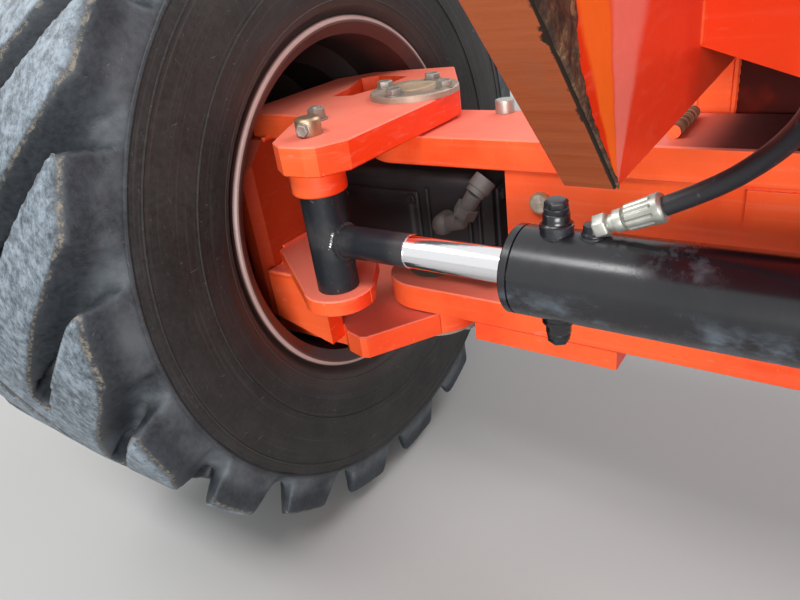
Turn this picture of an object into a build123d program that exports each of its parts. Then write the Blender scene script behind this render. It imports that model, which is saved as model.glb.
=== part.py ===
from build123d import *
import os
from math import radians, tan

# Steering axle of an articulating boom lift, with the end of the frame that carries it.
# +X runs along the axle, +Y is away from the steering cylinders, +Z is up, in millimetres.
# The pieces are drawn about the wheel axis: u is the distance inboard of a kingpin, v is Y,
# and z is the height above the wheel axis. write() moves each one down by FRAME_TOP, so that
# the origin lies in the middle of the frame's upper face, where the machine bolts on.

os.makedirs("parts", exist_ok=True)

# Clearances
SEAT_GAP = 0.3        # round pieces beside each other
THRUST_GAP = 2.6      # knuckle plates over and under the beam
EYE_GAP = 0.5         # rod's eye between its boss and its lug
EDGE = 1.5            # broken edges of the plates

# Axle layout
KINGPIN_X = 707.0     # kingpin from the middle of the axle
FLANGE_OFFSET = 96.0  # inner rim flange outboard of the kingpin
PIVOT_Z = -4.0        # axle pivot above the wheel axis

# Rim
RIM_WIDTH = 330.0
RIM_FLANGE_R = 222.0
RIM_LIP = 10.0
LIP_EDGE = 3.0
RIM_SEAT_R = 209.5
RIM_SEAT_DROP = 5.0   # seat's taper towards the well
RIM_WELL_R = 180.0
RIM_WALL = 8.0
RIM_WELL_HALF = 45.0
RIM_WELL_SLOPE = 20.0
DISC_T = 12.0
DISC_DISH = 26.0      # disc's middle outboard of its weld
DISC_FLAT_R = 132.0
DISC_BORE_R = 84.3

# Tyre
TYRE_R = 420.0
SHOULDER_DROP = 4.0   # crown's fall from the middle to the shoulder
LUG_HEIGHT = 42.0
RING_DROP = 18.3      # shoulder ring below the tread's floor
BAND_WIDTH = 15.0     # raised band inside the ring
TYRE_HALF = 188.0
RING_INSET = 3.0
TIP_INSET = 10.0
TYRE_WALL = 18.0
LUG_COUNT = 19
LUG_PHASE = 12.5      # first lug's turn from the top
LUG_FLARE = 10.0      # lug's foot wider than its top, on each side

# Hub drive
SPINDLE_R = 100.0
SPINDLE_LENGTH = 58.0
SHAFT_R = 40.0
SHAFT_LENGTH = 46.0
DRUM_R = 118.0
HUB_CAP_R = 84.0
HUB_CAP_LENGTH = 48.0
CAP_CHAMFER = 12.0
MOTOR_WIDTH = 100.0
MOTOR_HEIGHT = 118.0
MOTOR_REACH = 112.0   # motor's inboard end from the kingpin
MOTOR_ROUND = 14.0
MOTOR_CHAMFER = 8.0
ELBOW_R = 9.0
ELBOW_NUT_R = 13.0
ELBOW_POINTS = [(60, 8), (83, 14), (104, 48)]   # motor's hose fitting in u and z

# Beam
BEAM_HALF = 57.0
BEAM_TOP = 103.1
BEAM_TOP_T = 32.0
BEAM_LOW = -116.0
BEAM_LOW_T = 33.6
WEB_T = 16.0
WEB_INSET = 4.0
WEB_START = 134.0     # web's end from the kingpin
LINER_START = 356.0   # second plate on each web, from the kingpin
LINER_TOP = 69.0
WEB_PLUG_R = 11.0
WEB_PLUG_T = 5.0
WEB_PLUG_U = 172.6
WEB_PLUG_Z = 40.6
DOUBLER_T = 22.0
DOUBLER_FROM = 86.0
DOUBLER_TO = 253.0
PIVOT_TUBE_R = 50.0
PIVOT_TUBE_PROUD = 4.0
PIVOT_PIN_R = 30.0

# Knuckle
KINGPIN_R = 30.0
CAP_R = 50.5
CAP_T = 7.0
ARM_T = 29.0
ARM_FRONT = 98.0      # front edge of the arm plate's outboard part
ARM_OUTBOARD = 186.0
ARM_REAR = 150.0
ARM_SIDE = 42.0       # arm's straight inboard side from the kingpin
BACK_T = 28.0
BACK_FACE = 150.0     # back plate's inner face from the kingpin
BACK_HALF = 140.0
BACK_BEVEL = 11.0
BACK_CORNER = 34.0
BASE_T = 30.0
BASE_HALF = 128.0
KNUCKLE_R = 58.0
LUG_PLATE_T = 18.0
WALL_T = 24.0
WALL_END = 65.0

# Steering cylinder
PIN_U = -10.7
PIN_V = -169.6
PIN_R = 12.5
PIN_HEAD = 17.0
EYE_R = 22.4
EYE_TOP = 78.0
EYE_LOW = -28.0
BOSS_R = 28.0
ROD_Z = 26.1
ROD_R = 16.0
STUB_GROWTH = 0.6     # black stub's radius over the rod's
STUB_LENGTH = 102.0
HEAD_S = 211.0        # barrel's head from the rod's pin
PORT_S = 248.2
ROD_OVERLAP = 130.0   # rod's end inside the barrel, short of its bottom
PISTON_T = 36.0
BARREL_R = 38.9
BARREL_WALL = 6.5
BARREL_BOTTOM = 20.0
GLAND_T = 9.0
GLAND_GROOVE = 1.6
BASE_X = 133.0        # base pin from the middle of the axle
BASE_PIN_R = 15.0
BASE_PIN_HEAD = 8.0
BASE_EYE_R = 28.0
BASE_EYE_H = 70.0
BARREL_END_GAP = 46.0
BRACKET_T = 20.0
BRACKET_HALF = 38.0
BRACKET_BACK_T = 12.0
PORT_R = 9.6
PORT_TIP = 55.5
PLUG_R = 11.5
PLUG_TIP = 66.5
PORT_FOOT_R = 13.5
PORT_FOOT_T = 6.0

# Frame end
FRAME_TOP = 300.0
DECK_T = 20.0
SIDE_X = 388.0        # side plate's inner face
SIDE_T = 33.0
SIDE_TIP_Y = -275.0
SIDE_TIP_Z = 143.0
SIDE_LEAN = 0.93      # horn's forward lean for each millimetre of height
SIDE_SLOPE = 0.03
SIDE_REAR_Y = 130.0
SIDE_REAR_LOW = 0.0
PLATE_T = 25.0
PLATE_GAP = 9.0       # pivot plates from the beam's flanges
LOBE_R = 78.0
LOBE_RISE = 40.0      # lobe's shoulder above the panel's low edge
PANEL_LOW = 139.0
PANEL_SLOPE = 0.35
PANEL_SIDE_Z = 189.0  # panel's low edge at the side plate
STOP_BAR_R = 6.0
STOP_BAR_U = 290.0
STOP_BAR_FROM = -34.0
STOP_BAR_TO = 36.0

# Hose on the left cylinder: points of its centre line in u, v and z
HOSE_R = 7.5
HOSE_GAP = 0.9        # hose from the ferrule, which swings a little with the barrel
FERRULE_R = 11.0
FERRULE_LENGTH = 32.0
ELBOW_U = 268.0
ELBOW_RISE = 5.0
ELBOW_BALL_R = 8.5
NUT_R = 10.2
NUT_LENGTH = 13.0
NECK_R = 6.5
PORT_LIP = 0.6        # hose port's face above the barrel
BULKHEAD_NUT_R = 14.0
BULKHEAD_NUT_T = 9.0
HOSE_POINTS = [
    (319, -165, 92), (352, -162, 106), (383, -170, 131), (405, -194, 159), (410, -219, 189),
    (412, -230, 219), (412, -230, 250),
]

# Sizes that follow from those above
WHEEL_U = -(FLANGE_OFFSET + RIM_WIDTH / 2)
SHOULDER_R = TYRE_R - SHOULDER_DROP
TREAD_R = TYRE_R - LUG_HEIGHT
RING_R = TREAD_R - RING_DROP
ARM_LOW = BEAM_TOP + THRUST_GAP
ARM_TOP = ARM_LOW + ARM_T
BASE_TOP = BEAM_LOW - THRUST_GAP
BASE_LOW = BASE_TOP - BASE_T
WEB_TOP = BEAM_TOP - BEAM_TOP_T
WEB_LOW = BEAM_LOW + BEAM_LOW_T
BACK_OUTER = -(BACK_FACE + BACK_T)
LUG_TOP = EYE_LOW - EYE_GAP
LUG_LOW = LUG_TOP - LUG_PLATE_T
BASE_U = KINGPIN_X - BASE_X
SIDE_TOP = FRAME_TOP - DECK_T
NOTCH_Y = BEAM_HALF + PLATE_GAP


def write(name, shape):
    """Moves a piece from the wheel axis to the frame's own origin and writes it."""
    down = Location((0, 0, -FRAME_TOP))
    solids = [solid.moved(down) for solid in shape.solids()]
    moved = solids[0] if len(solids) == 1 else Compound(solids)
    moved.label = name
    export_step(moved, f"parts/{name}.step")


def write_left(name, shape):
    """Writes a piece drawn about a kingpin on the left alone."""
    outboard = Location((-KINGPIN_X, 0, 0))
    left = Compound([solid.moved(outboard) for solid in shape.solids()])
    write(name + "_left", left)
    return left


def both_sides(name, shape):
    """Writes a piece drawn about a kingpin on the left, and its mirror image on the right."""
    left = write_left(name, shape)
    write(name + "_right", Compound([mirror(solid, about=Plane.YZ) for solid in left.solids()]))


def plate(points, low, thickness, edge=EDGE):
    """A flat plate from an outline in u and v, with its edges broken."""
    solid = extrude(make_face(Polyline(points, close=True)), thickness)
    solid = solid.moved(Location((0, 0, low)))
    return chamfer(flat_edges(solid), edge) if edge else solid


def flat_edges(solid):
    """The edges round the upper and lower faces."""
    faces = solid.faces().sort_by(Axis.Z)
    return faces[0].edges() + faces[-1].edges()


def disc(u, v, low, height, radius):
    """An upright round piece from its lower end."""
    return Pos(u, v, low + height / 2) * Cylinder(radius, height)


def axial(start, length, radius, v=0.0, z=0.0):
    """A round piece that lies along the axle, from u = start inboard."""
    return Pos(start + length / 2, v, z) * Rot(0, 90, 0) * Cylinder(radius, length)


def rod_between(start, end, radius):
    """A round piece from one point to another."""
    path = Vector(*end) - Vector(*start)
    return Plane(origin=start, z_dir=path) * extrude(Circle(radius), path.length)


def hex_between(start, end, radius):
    """A hexagonal nut from one point to another."""
    path = Vector(*end) - Vector(*start)
    return Plane(origin=start, z_dir=path) * extrude(RegularPolygon(radius, 6), path.length)


def along(start, end, distance):
    """The point at a distance from the start on the way to the end."""
    step = (Vector(*end) - Vector(*start)).normalized() * distance
    return tuple(Vector(*start) + step)


def turned(points):
    """Turns a profile of (a, r), a being the distance inboard of the wheel's middle."""
    face = make_face(Polyline([(a, 0, r) for a, r in points], close=True))
    return revolve(face, Axis.X, 360).moved(Location((WHEEL_U, 0, 0)))


# Rim with its flared edges, drop centre and dished disc
half = RIM_WIDTH / 2
seat = half - RIM_LIP
well_edge = RIM_WELL_HALF + RIM_WELL_SLOPE
ledge_r = RIM_SEAT_R - RIM_SEAT_DROP
inside_r = RIM_SEAT_R - RIM_WALL
well_inside_r = RIM_WELL_R - RIM_WALL
edge_r = RIM_FLANGE_R - RIM_WALL
disc_outer = -RIM_WELL_HALF - DISC_DISH
lip_r = RIM_FLANGE_R - LIP_EDGE
rim_profile = [
    (half, lip_r), (half - LIP_EDGE, RIM_FLANGE_R), (seat + LIP_EDGE, RIM_FLANGE_R), (seat, lip_r),
    (seat, RIM_SEAT_R), (well_edge, ledge_r), (RIM_WELL_HALF, RIM_WELL_R),
    (-RIM_WELL_HALF, RIM_WELL_R), (-well_edge, ledge_r), (-seat, RIM_SEAT_R), (-seat, lip_r),
    (-seat - LIP_EDGE, RIM_FLANGE_R), (-half + LIP_EDGE, RIM_FLANGE_R), (-half, lip_r), (-half, edge_r),
    (-seat, inside_r), (-well_edge, ledge_r - RIM_WALL), (-RIM_WELL_HALF, well_inside_r),
    (disc_outer, DISC_FLAT_R), (disc_outer, DISC_BORE_R), (disc_outer + DISC_T, DISC_BORE_R),
    (disc_outer + DISC_T, DISC_FLAT_R), (-RIM_WELL_HALF + DISC_T, well_inside_r),
    (RIM_WELL_HALF, well_inside_r), (well_edge, ledge_r - RIM_WALL), (seat, inside_r),
    (half, edge_r),
]
both_sides("rim", turned(rim_profile))

# Tyre: a hollow carcass with chevron lugs, each side's set half a pitch from the other's
bead_r = RIM_SEAT_R + SEAT_GAP
bead_a = seat - SEAT_GAP
rise = RING_R - RIM_FLANGE_R
side_points = [
    (bead_a, bead_r), (bead_a, RIM_FLANGE_R + 0.02 * rise), (half + 3, RIM_FLANGE_R + 0.07 * rise),
    (TYRE_HALF - 9, RIM_FLANGE_R + 0.23 * rise), (TYRE_HALF - 2, RIM_FLANGE_R + 0.46 * rise),
    (TYRE_HALF, RIM_FLANGE_R + 0.7 * rise), (TYRE_HALF - 1, RING_R - BAND_WIDTH),
    (TYRE_HALF - RING_INSET, RING_R), (TYRE_HALF - 20, TREAD_R - 6),
]
inner_points = [
    (TYRE_HALF - 46, TREAD_R - TYRE_WALL - 4), (TYRE_HALF - TYRE_WALL - 2, RING_R - TYRE_WALL),
    (TYRE_HALF - TYRE_WALL - 2, RIM_FLANGE_R + 0.55 * rise),
    (TYRE_HALF - TYRE_WALL - 14, RIM_FLANGE_R + 0.26 * rise), (bead_a - 26, bead_r),
]
carcass_points = side_points + [(TYRE_HALF / 2, TREAD_R)]
carcass_points += [(-a, r) for a, r in reversed(carcass_points)]
carcass_points += [(-a, r) for a, r in reversed(inner_points)] + inner_points
carcass = turned(carcass_points)

crown_points = [
    (0, TYRE_R), (TYRE_HALF - TIP_INSET - 12, SHOULDER_R + 1), (TYRE_HALF - TIP_INSET, SHOULDER_R - 7),
    (TYRE_HALF - RING_INSET, RING_R), (0, TREAD_R - 8),
]
crown = turned(crown_points + [(-a, r) for a, r in reversed(crown_points[1:-1])])

# Lug's outline at its top: distance inboard of the wheel's middle, and distance round the tread
lug_outline = [
    (210, 36), (168, 30), (-4, -146), (-4, -194), (12, -206), (150, -72), (176, -38), (210, -36),
]
foot_r = RING_R - 8
lug_top = make_face(Polyline(lug_outline, close=True))
lug_foot = offset(lug_top, LUG_FLARE, kind=Kind.INTERSECTION)
lug_blank = loft([lug_foot.faces()[0].moved(Location((0, 0, foot_r))),
                  lug_top.moved(Location((0, 0, TYRE_R + 4)))], ruled=True)
lug_blank = lug_blank.moved(Location((WHEEL_U, 0, 0)))
lug_inner = (lug_blank & crown).solids().sort_by(Axis.Z)[-1]
lug_outer = mirror(lug_inner, about=Plane.YZ.offset(WHEEL_U))
pitch = 360 / LUG_COUNT
lugs = []
for index in range(LUG_COUNT):
    lugs.append(lug_inner.rotate(Axis.X, index * pitch + LUG_PHASE))
    lugs.append(lug_outer.rotate(Axis.X, (index + 0.5) * pitch + LUG_PHASE))
tyre = carcass.fuse(*lugs)
both_sides("tyre", tyre)

# Hub drive: fixed spindle on the knuckle, turning hub on the wheel
spindle = axial(BACK_OUTER - SPINDLE_LENGTH, SPINDLE_LENGTH, SPINDLE_R)
spindle = spindle + axial(BACK_OUTER - SPINDLE_LENGTH - SHAFT_LENGTH, SHAFT_LENGTH + 1, SHAFT_R)
both_sides("hub_spindle", spindle)
hub_gap = 1.0
drum_inner = BACK_OUTER - SPINDLE_LENGTH - hub_gap
disc_face = WHEEL_U + disc_outer + DISC_T
drum = axial(disc_face, drum_inner - disc_face, DRUM_R)
cap = axial(WHEEL_U + disc_outer - HUB_CAP_LENGTH, HUB_CAP_LENGTH + DISC_T + 1, HUB_CAP_R)
drum = drum + chamfer(cap.faces().sort_by(Axis.X)[0].edges(), CAP_CHAMFER)
shaft_room = SHAFT_LENGTH + 2 * hub_gap
drum = drum - axial(drum_inner - shaft_room, shaft_room + 1, SHAFT_R + SEAT_GAP)
both_sides("hub", drum)

# Drive motor between the two kingpins, with its hose fitting
motor_length = BACK_FACE + MOTOR_REACH
motor = Pos(motor_length / 2 - BACK_FACE, 0, 0) * Box(motor_length, MOTOR_WIDTH, MOTOR_HEIGHT)
motor = fillet(motor.edges().filter_by(Axis.X), MOTOR_ROUND)
motor = chamfer(motor.faces().sort_by(Axis.X)[-1].edges(), MOTOR_CHAMFER)
both_sides("drive_motor", motor)

motor_face = -MOTOR_WIDTH / 2
fitting_row = motor_face - ELBOW_NUT_R
ball, turn_point, tip = [(u, fitting_row, z) for u, z in ELBOW_POINTS]
elbow_ball_r = ELBOW_NUT_R - 1
fitting = rod_between((ball[0], motor_face, ball[2]), ball, elbow_ball_r)
fitting = fitting + Pos(*ball) * Sphere(elbow_ball_r) + Pos(*turn_point) * Sphere(ELBOW_R)
fitting = fitting + rod_between(ball, turn_point, ELBOW_R) + rod_between(turn_point, tip, ELBOW_R)
nut_from = along(turn_point, tip, ELBOW_R)
fitting = fitting + hex_between(nut_from, along(nut_from, tip, ELBOW_NUT_R), ELBOW_NUT_R)
both_sides("motor_fitting", fitting)

# Knuckle's arm plate: nose over the rod's pin, broad outboard part, and a window beside the cap
nose = [(-24, -28), (-4, -41), (23, -40.5), (37, -36)]
arm_outline = [(PIN_U + du, PIN_V + dv) for du, dv in nose] + [
    (ARM_SIDE, PIN_V - 8), (ARM_SIDE + 2, 24), (ARM_SIDE - 8, 42), (-38, ARM_REAR + 5),
    (-150, ARM_REAR - 20), (-ARM_OUTBOARD, ARM_REAR - 60), (-ARM_OUTBOARD, -ARM_FRONT + 24),
    (-ARM_OUTBOARD + 14, -ARM_FRONT + 4), (-84, -ARM_FRONT - 6),
]
window = [(-110, -14), (-84, -9), (-74, 24), (-74, 96), (-126, 104), (-144, 90), (-118, 30)]
arm = plate(arm_outline, ARM_LOW, ARM_T)
arm = arm - plate(window, ARM_LOW - 1, ARM_T + 2, 0)
arm = arm - disc(0, 0, ARM_LOW - 1, ARM_T + 2, KINGPIN_R)
boss_low = EYE_TOP + EYE_GAP
boss = disc(PIN_U, PIN_V, boss_low, ARM_LOW - boss_low, BOSS_R)
arm = arm + fillet(boss.edges().sort_by(Axis.Z)[0], 2 * EDGE)
both_sides("knuckle_arm", arm)

# Knuckle's back plate, with its corners cut to clear the rim and its front edge bevelled
back_outline = [
    (-BACK_HALF, BASE_TOP + EDGE * 6), (-BACK_HALF + EDGE * 6, BASE_TOP),
    (BACK_HALF - BACK_CORNER, BASE_TOP), (BACK_HALF, BASE_TOP + BACK_CORNER),
    (BACK_HALF, ARM_LOW - BACK_CORNER), (BACK_HALF - BACK_CORNER, ARM_LOW),
    (-BACK_HALF + BACK_CORNER, ARM_LOW), (-BACK_HALF, ARM_LOW - BACK_CORNER),
]
back_face = make_face(Polyline([(BACK_OUTER, v, z) for v, z in back_outline], close=True))
back = extrude(back_face, amount=BACK_T, dir=(1, 0, 0))
front_corner = Vector(-BACK_FACE, -BACK_HALF, (BASE_TOP + ARM_LOW) / 2)
back = chamfer(back.edges().sort_by_distance(front_corner)[0], BACK_BEVEL)
both_sides("knuckle_back", back)

# Knuckle's base plate
wall_inner = -BACK_HALF - 2 + WALL_T
base_outline = [
    (BACK_OUTER, wall_inner + SEAT_GAP), (-WALL_END + SEAT_GAP, wall_inner + SEAT_GAP),
    (-52, -BASE_HALF), (-28, -BASE_HALF - 6), (-20, -BASE_HALF - 3),
    (KNUCKLE_R * 0.56, -KNUCKLE_R * 0.86), (KNUCKLE_R * 0.56, KNUCKLE_R * 0.86),
    (-26, BASE_HALF), (-57, BASE_HALF - 10), (BACK_OUTER, BASE_HALF - 10),
]
base = plate(base_outline, BASE_LOW, BASE_T, 0) + disc(0, 0, BASE_LOW, BASE_T, KNUCKLE_R)
base = chamfer(flat_edges(base), EDGE)
base = base - disc(0, 0, BASE_LOW - 1, BASE_T + 2, KINGPIN_R)
both_sides("knuckle_base", base)

# Lug plate under the rod's eye, with the wall that carries it
lug_r = 38.0
lug_points = [
    (-BACK_FACE, -BACK_HALF + 24), (-133, -127), (PIN_U - 18, PIN_V - 33), (PIN_U, PIN_V - lug_r),
    (PIN_U + lug_r, PIN_V + 6), (PIN_U, -98), (-60, -74), (-BACK_FACE, -60),
]
eye_lug = plate(lug_points, LUG_LOW, LUG_PLATE_T, 0)
eye_lug = eye_lug + disc(PIN_U, PIN_V, LUG_LOW, LUG_PLATE_T, lug_r)
eye_lug = chamfer(flat_edges(eye_lug), EDGE)
wall_points = [
    (-BACK_FACE, LUG_LOW), (-WALL_END, LUG_LOW), (-WALL_END, BASE_TOP - 14), (-BACK_FACE, BASE_TOP + 9),
]
wall_face = make_face(Polyline([(u, wall_inner - WALL_T, z) for u, z in wall_points], close=True))
eye_lug = eye_lug + extrude(wall_face, amount=WALL_T, dir=(0, 1, 0))
both_sides("cylinder_lug", eye_lug)

# Kingpins with their flanges, one above and one below
upper_cap = disc(0, 0, ARM_TOP, CAP_T, CAP_R)
upper_cap = chamfer(upper_cap.faces().sort_by(Axis.Z)[-1].edges(), EDGE)
upper = upper_cap + disc(0, 0, WEB_TOP, ARM_TOP - WEB_TOP, KINGPIN_R)
lower = disc(0, 0, BASE_LOW - CAP_T, CAP_T, CAP_R)
lower = lower + disc(0, 0, BASE_LOW, WEB_LOW - BASE_LOW, KINGPIN_R)
both_sides("kingpins", Compound([upper.solids()[0], lower.solids()[0]]))

# Head of the rod's pin above the arm
both_sides("rod_pin_head", disc(PIN_U, PIN_V, ARM_TOP, PIN_HEAD, PIN_R))

# Steering cylinder along the axle: rod with its eye, barrel, gland and plugs
barrel_from = PIN_U + HEAD_S
barrel_to = BASE_U - BARREL_END_GAP
rod_end = barrel_to - ROD_OVERLAP
bore_r = BARREL_R - BARREL_WALL
rod = disc(PIN_U, PIN_V, EYE_LOW, EYE_TOP - EYE_LOW, EYE_R)
rod = rod + axial(PIN_U, STUB_LENGTH, ROD_R + STUB_GROWTH, PIN_V, ROD_Z)
rod = rod + axial(PIN_U, rod_end - PIN_U, ROD_R, PIN_V, ROD_Z)
rod = rod + axial(rod_end - PISTON_T, PISTON_T, bore_r - SEAT_GAP, PIN_V, ROD_Z)
both_sides("cylinder_rod", rod)

barrel = axial(barrel_from + GLAND_T, barrel_to - barrel_from - GLAND_T, BARREL_R, PIN_V, ROD_Z)
barrel = barrel + axial(barrel_to, BARREL_END_GAP, BASE_EYE_R - 6, PIN_V, ROD_Z)
barrel = barrel + disc(BASE_U, PIN_V, ROD_Z - BASE_EYE_H / 2, BASE_EYE_H, BASE_EYE_R)
port_u = PIN_U + PORT_S
barrel = barrel + disc(port_u, PIN_V, ROD_Z - PORT_TIP, 2 * PORT_TIP, PORT_R)
foot_reach = BARREL_R + PORT_FOOT_T
barrel = barrel + disc(port_u, PIN_V, ROD_Z - foot_reach, 2 * foot_reach, PORT_FOOT_R)
hose_port_top = ROD_Z + BARREL_R + PORT_LIP
barrel = barrel + disc(ELBOW_U, PIN_V, ROD_Z, hose_port_top - ROD_Z, FERRULE_R)
bore_length = barrel_to - barrel_from - BARREL_BOTTOM
barrel = barrel - axial(barrel_from, bore_length, bore_r, PIN_V, ROD_Z)
barrel = barrel - disc(BASE_U, PIN_V, ROD_Z - BASE_EYE_H, 2 * BASE_EYE_H, BASE_PIN_R + SEAT_GAP)
both_sides("cylinder_barrel", barrel)

groove_from = barrel_from + GLAND_T - GLAND_GROOVE
gland = axial(barrel_from, GLAND_T - GLAND_GROOVE, BARREL_R, PIN_V, ROD_Z)
gland = chamfer(gland.faces().sort_by(Axis.X)[0].edges(), EDGE)
gland = gland + axial(groove_from, GLAND_GROOVE, BARREL_R - 2 * EDGE, PIN_V, ROD_Z)
gland = gland - axial(barrel_from - 1, GLAND_T + 2, ROD_R + SEAT_GAP, PIN_V, ROD_Z)
both_sides("cylinder_gland", gland)

plug_h = PLUG_TIP - PORT_TIP
plugs = []
for low in (ROD_Z + PORT_TIP, ROD_Z - PLUG_TIP):
    hexagon = extrude(RegularPolygon(PLUG_R, 6), plug_h)
    plugs.append(hexagon.moved(Location((port_u, PIN_V, low))))
both_sides("port_plugs", Compound(plugs))

# Bracket and pin at the cylinder's base, on the beam's front
ear_gap = 0.5
bracket = Pos(BASE_U, -BEAM_HALF - BRACKET_BACK_T / 2, (BEAM_TOP + BEAM_LOW) / 2) * Box(
    2 * BRACKET_HALF, BRACKET_BACK_T, BEAM_TOP - BEAM_LOW)
reach = -BEAM_HALF - BRACKET_BACK_T - PIN_V
ear_lift = BASE_EYE_H / 2 + ear_gap
for low in (ROD_Z + ear_lift, ROD_Z - ear_lift - BRACKET_T):
    ear = Pos(BASE_U, PIN_V + reach / 2, low + BRACKET_T / 2) * Box(
        2 * BRACKET_HALF, reach, BRACKET_T)
    bracket = bracket + ear + disc(BASE_U, PIN_V, low, BRACKET_T, BRACKET_HALF)
pin_h = 2 * (ear_lift + BRACKET_T)
bracket = bracket - disc(BASE_U, PIN_V, ROD_Z - pin_h, 2 * pin_h, BASE_PIN_R)
both_sides("base_bracket", bracket)
base_pin = disc(BASE_U, PIN_V, ROD_Z - pin_h / 2, pin_h, BASE_PIN_R)
base_pin = base_pin + disc(BASE_U, PIN_V, ROD_Z + pin_h / 2, BASE_PIN_HEAD, BASE_PIN_R + 6)
both_sides("base_pin", base_pin)

# Hose with its elbow and ferrule on the left barrel, and its bulkhead fitting on the frame
elbow_foot = (ELBOW_U, PIN_V, hose_port_top + SEAT_GAP)
elbow_bend = (ELBOW_U, PIN_V, hose_port_top + ELBOW_RISE)
hose_start = HOSE_POINTS[0]
run = (Vector(*hose_start) - Vector(*elbow_bend)).length
ferrule_from = along(elbow_bend, hose_start, run - FERRULE_LENGTH)
nut_from = along(elbow_bend, hose_start, run - FERRULE_LENGTH - NUT_LENGTH - NECK_R)
elbow = rod_between(elbow_foot, elbow_bend, ELBOW_BALL_R) + Pos(*elbow_bend) * Sphere(ELBOW_BALL_R)
elbow = elbow + rod_between(elbow_bend, ferrule_from, NECK_R)
elbow = elbow + hex_between(nut_from, along(nut_from, hose_start, NUT_LENGTH), NUT_R)
elbow = elbow + rod_between(ferrule_from, along(hose_start, elbow_bend, HOSE_GAP), FERRULE_R)
elbow = elbow - Pos(ELBOW_U, PIN_V, hose_port_top + SEAT_GAP - 2 * ELBOW_BALL_R) * Box(
    4 * ELBOW_BALL_R, 4 * ELBOW_BALL_R, 4 * ELBOW_BALL_R)
write_left("hose_elbow", elbow)

corners = [Vector(*point) for point in HOSE_POINTS]
radii = []
for before, corner, after in zip(corners, corners[1:], corners[2:]):
    turn = (corner - before).get_angle(after - corner)
    shorter = min((corner - before).length, (after - corner).length)
    radii.append(0.45 * shorter / tan(radians(turn) / 2))
print("hose radii", [round(radius) for radius in radii])
hose_path = FilletPolyline(*corners, radius=radii)
hose_section = Plane(origin=hose_path @ 0, z_dir=hose_path % 0) * Circle(HOSE_R)
hose = sweep(hose_section, path=hose_path)
print("hose length", round(hose_path.length), "volume check", round(hose.volume / hose_path.length, 1))
write_left("hose", hose)

hose_u, hose_v, hose_top = HOSE_POINTS[-1]
bulkhead = extrude(RegularPolygon(BULKHEAD_NUT_R, 6), BULKHEAD_NUT_T)
bulkhead = bulkhead.moved(Location((hose_u, hose_v, SIDE_TOP - BULKHEAD_NUT_T)))
bulkhead_low = hose_top + SEAT_GAP
bulkhead = bulkhead + disc(hose_u, hose_v, bulkhead_low, SIDE_TOP - bulkhead_low, FERRULE_R)
write_left("hose_bulkhead", bulkhead)


# Beam: two flanges joined by webs, with the pivot tube across the middle
def flange(low, thickness):
    """A beam flange with round ends about the kingpins."""
    body = Pos(0, 0, low + thickness / 2) * Box(2 * KINGPIN_X, 2 * BEAM_HALF, thickness)
    for x in (-KINGPIN_X, KINGPIN_X):
        body = body + disc(x, 0, low, thickness, BEAM_HALF)
    body = chamfer(flat_edges(body), EDGE)
    for x in (-KINGPIN_X, KINGPIN_X):
        body = body - disc(x, 0, low - 1, thickness + 2, KINGPIN_R + SEAT_GAP)
    return body


write("beam_top_flange", flange(WEB_TOP, BEAM_TOP_T))
write("beam_low_flange", flange(BEAM_LOW, BEAM_LOW_T))

web_half = BEAM_HALF - WEB_INSET - WEB_T / 2
webs = []
for v in (-web_half, web_half):
    web = Pos(0, v, (WEB_TOP + WEB_LOW) / 2) * Box(
        2 * (KINGPIN_X - WEB_START), WEB_T, WEB_TOP - WEB_LOW)
    hole = Pos(0, v, PIVOT_Z) * Rot(90, 0, 0) * Cylinder(PIVOT_TUBE_R, WEB_T + 2)
    webs.append(web - hole)
write("beam_webs", Compound(webs))

liner_half = BEAM_HALF - WEB_INSET / 2
liners = []
for v in (-liner_half, liner_half):
    liner = Pos(0, v, (LINER_TOP + WEB_LOW) / 2) * Box(
        2 * (KINGPIN_X - LINER_START), WEB_INSET, LINER_TOP - WEB_LOW)
    liners.append(liner - Pos(0, v, PIVOT_Z) * Rot(90, 0, 0) * Cylinder(PIVOT_TUBE_R, WEB_INSET + 2))
write("beam_liners", Compound(liners))

web_face = -BEAM_HALF + WEB_INSET
plug_spots = [(side * (KINGPIN_X - WEB_PLUG_U), web_face, WEB_PLUG_Z) for side in (-1, 1)]
web_plugs = [rod_between((x, y - WEB_PLUG_T, z), (x, y, z), WEB_PLUG_R) for x, y, z in plug_spots]
write("web_plugs", Compound([plug.solids()[0] for plug in web_plugs]))

tube_length = 2 * (BEAM_HALF + PIVOT_TUBE_PROUD)
across = Pos(0, 0, PIVOT_Z) * Rot(90, 0, 0)
tube = across * Cylinder(PIVOT_TUBE_R, tube_length)
tube = tube - across * Cylinder(PIVOT_PIN_R + SEAT_GAP, tube_length + 2)
write("pivot_tube", tube)

doublers = []
for side in (-1, 1):
    middle = side * (KINGPIN_X - (DOUBLER_FROM + DOUBLER_TO) / 2)
    doublers.append(Pos(middle, 0, BEAM_LOW - DOUBLER_T / 2) * Box(
        DOUBLER_TO - DOUBLER_FROM, 2 * BEAM_HALF, DOUBLER_T))
write("beam_doublers", Compound(doublers))

bars = []
for side in (-1, 1):
    spot = (side * (KINGPIN_X - STOP_BAR_U), BEAM_TOP + STOP_BAR_R)
    bars.append(rod_between((spot[0], STOP_BAR_FROM, spot[1]), (spot[0], STOP_BAR_TO, spot[1]),
                            STOP_BAR_R).solids()[0])
write("stop_bars", Compound(bars))

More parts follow.
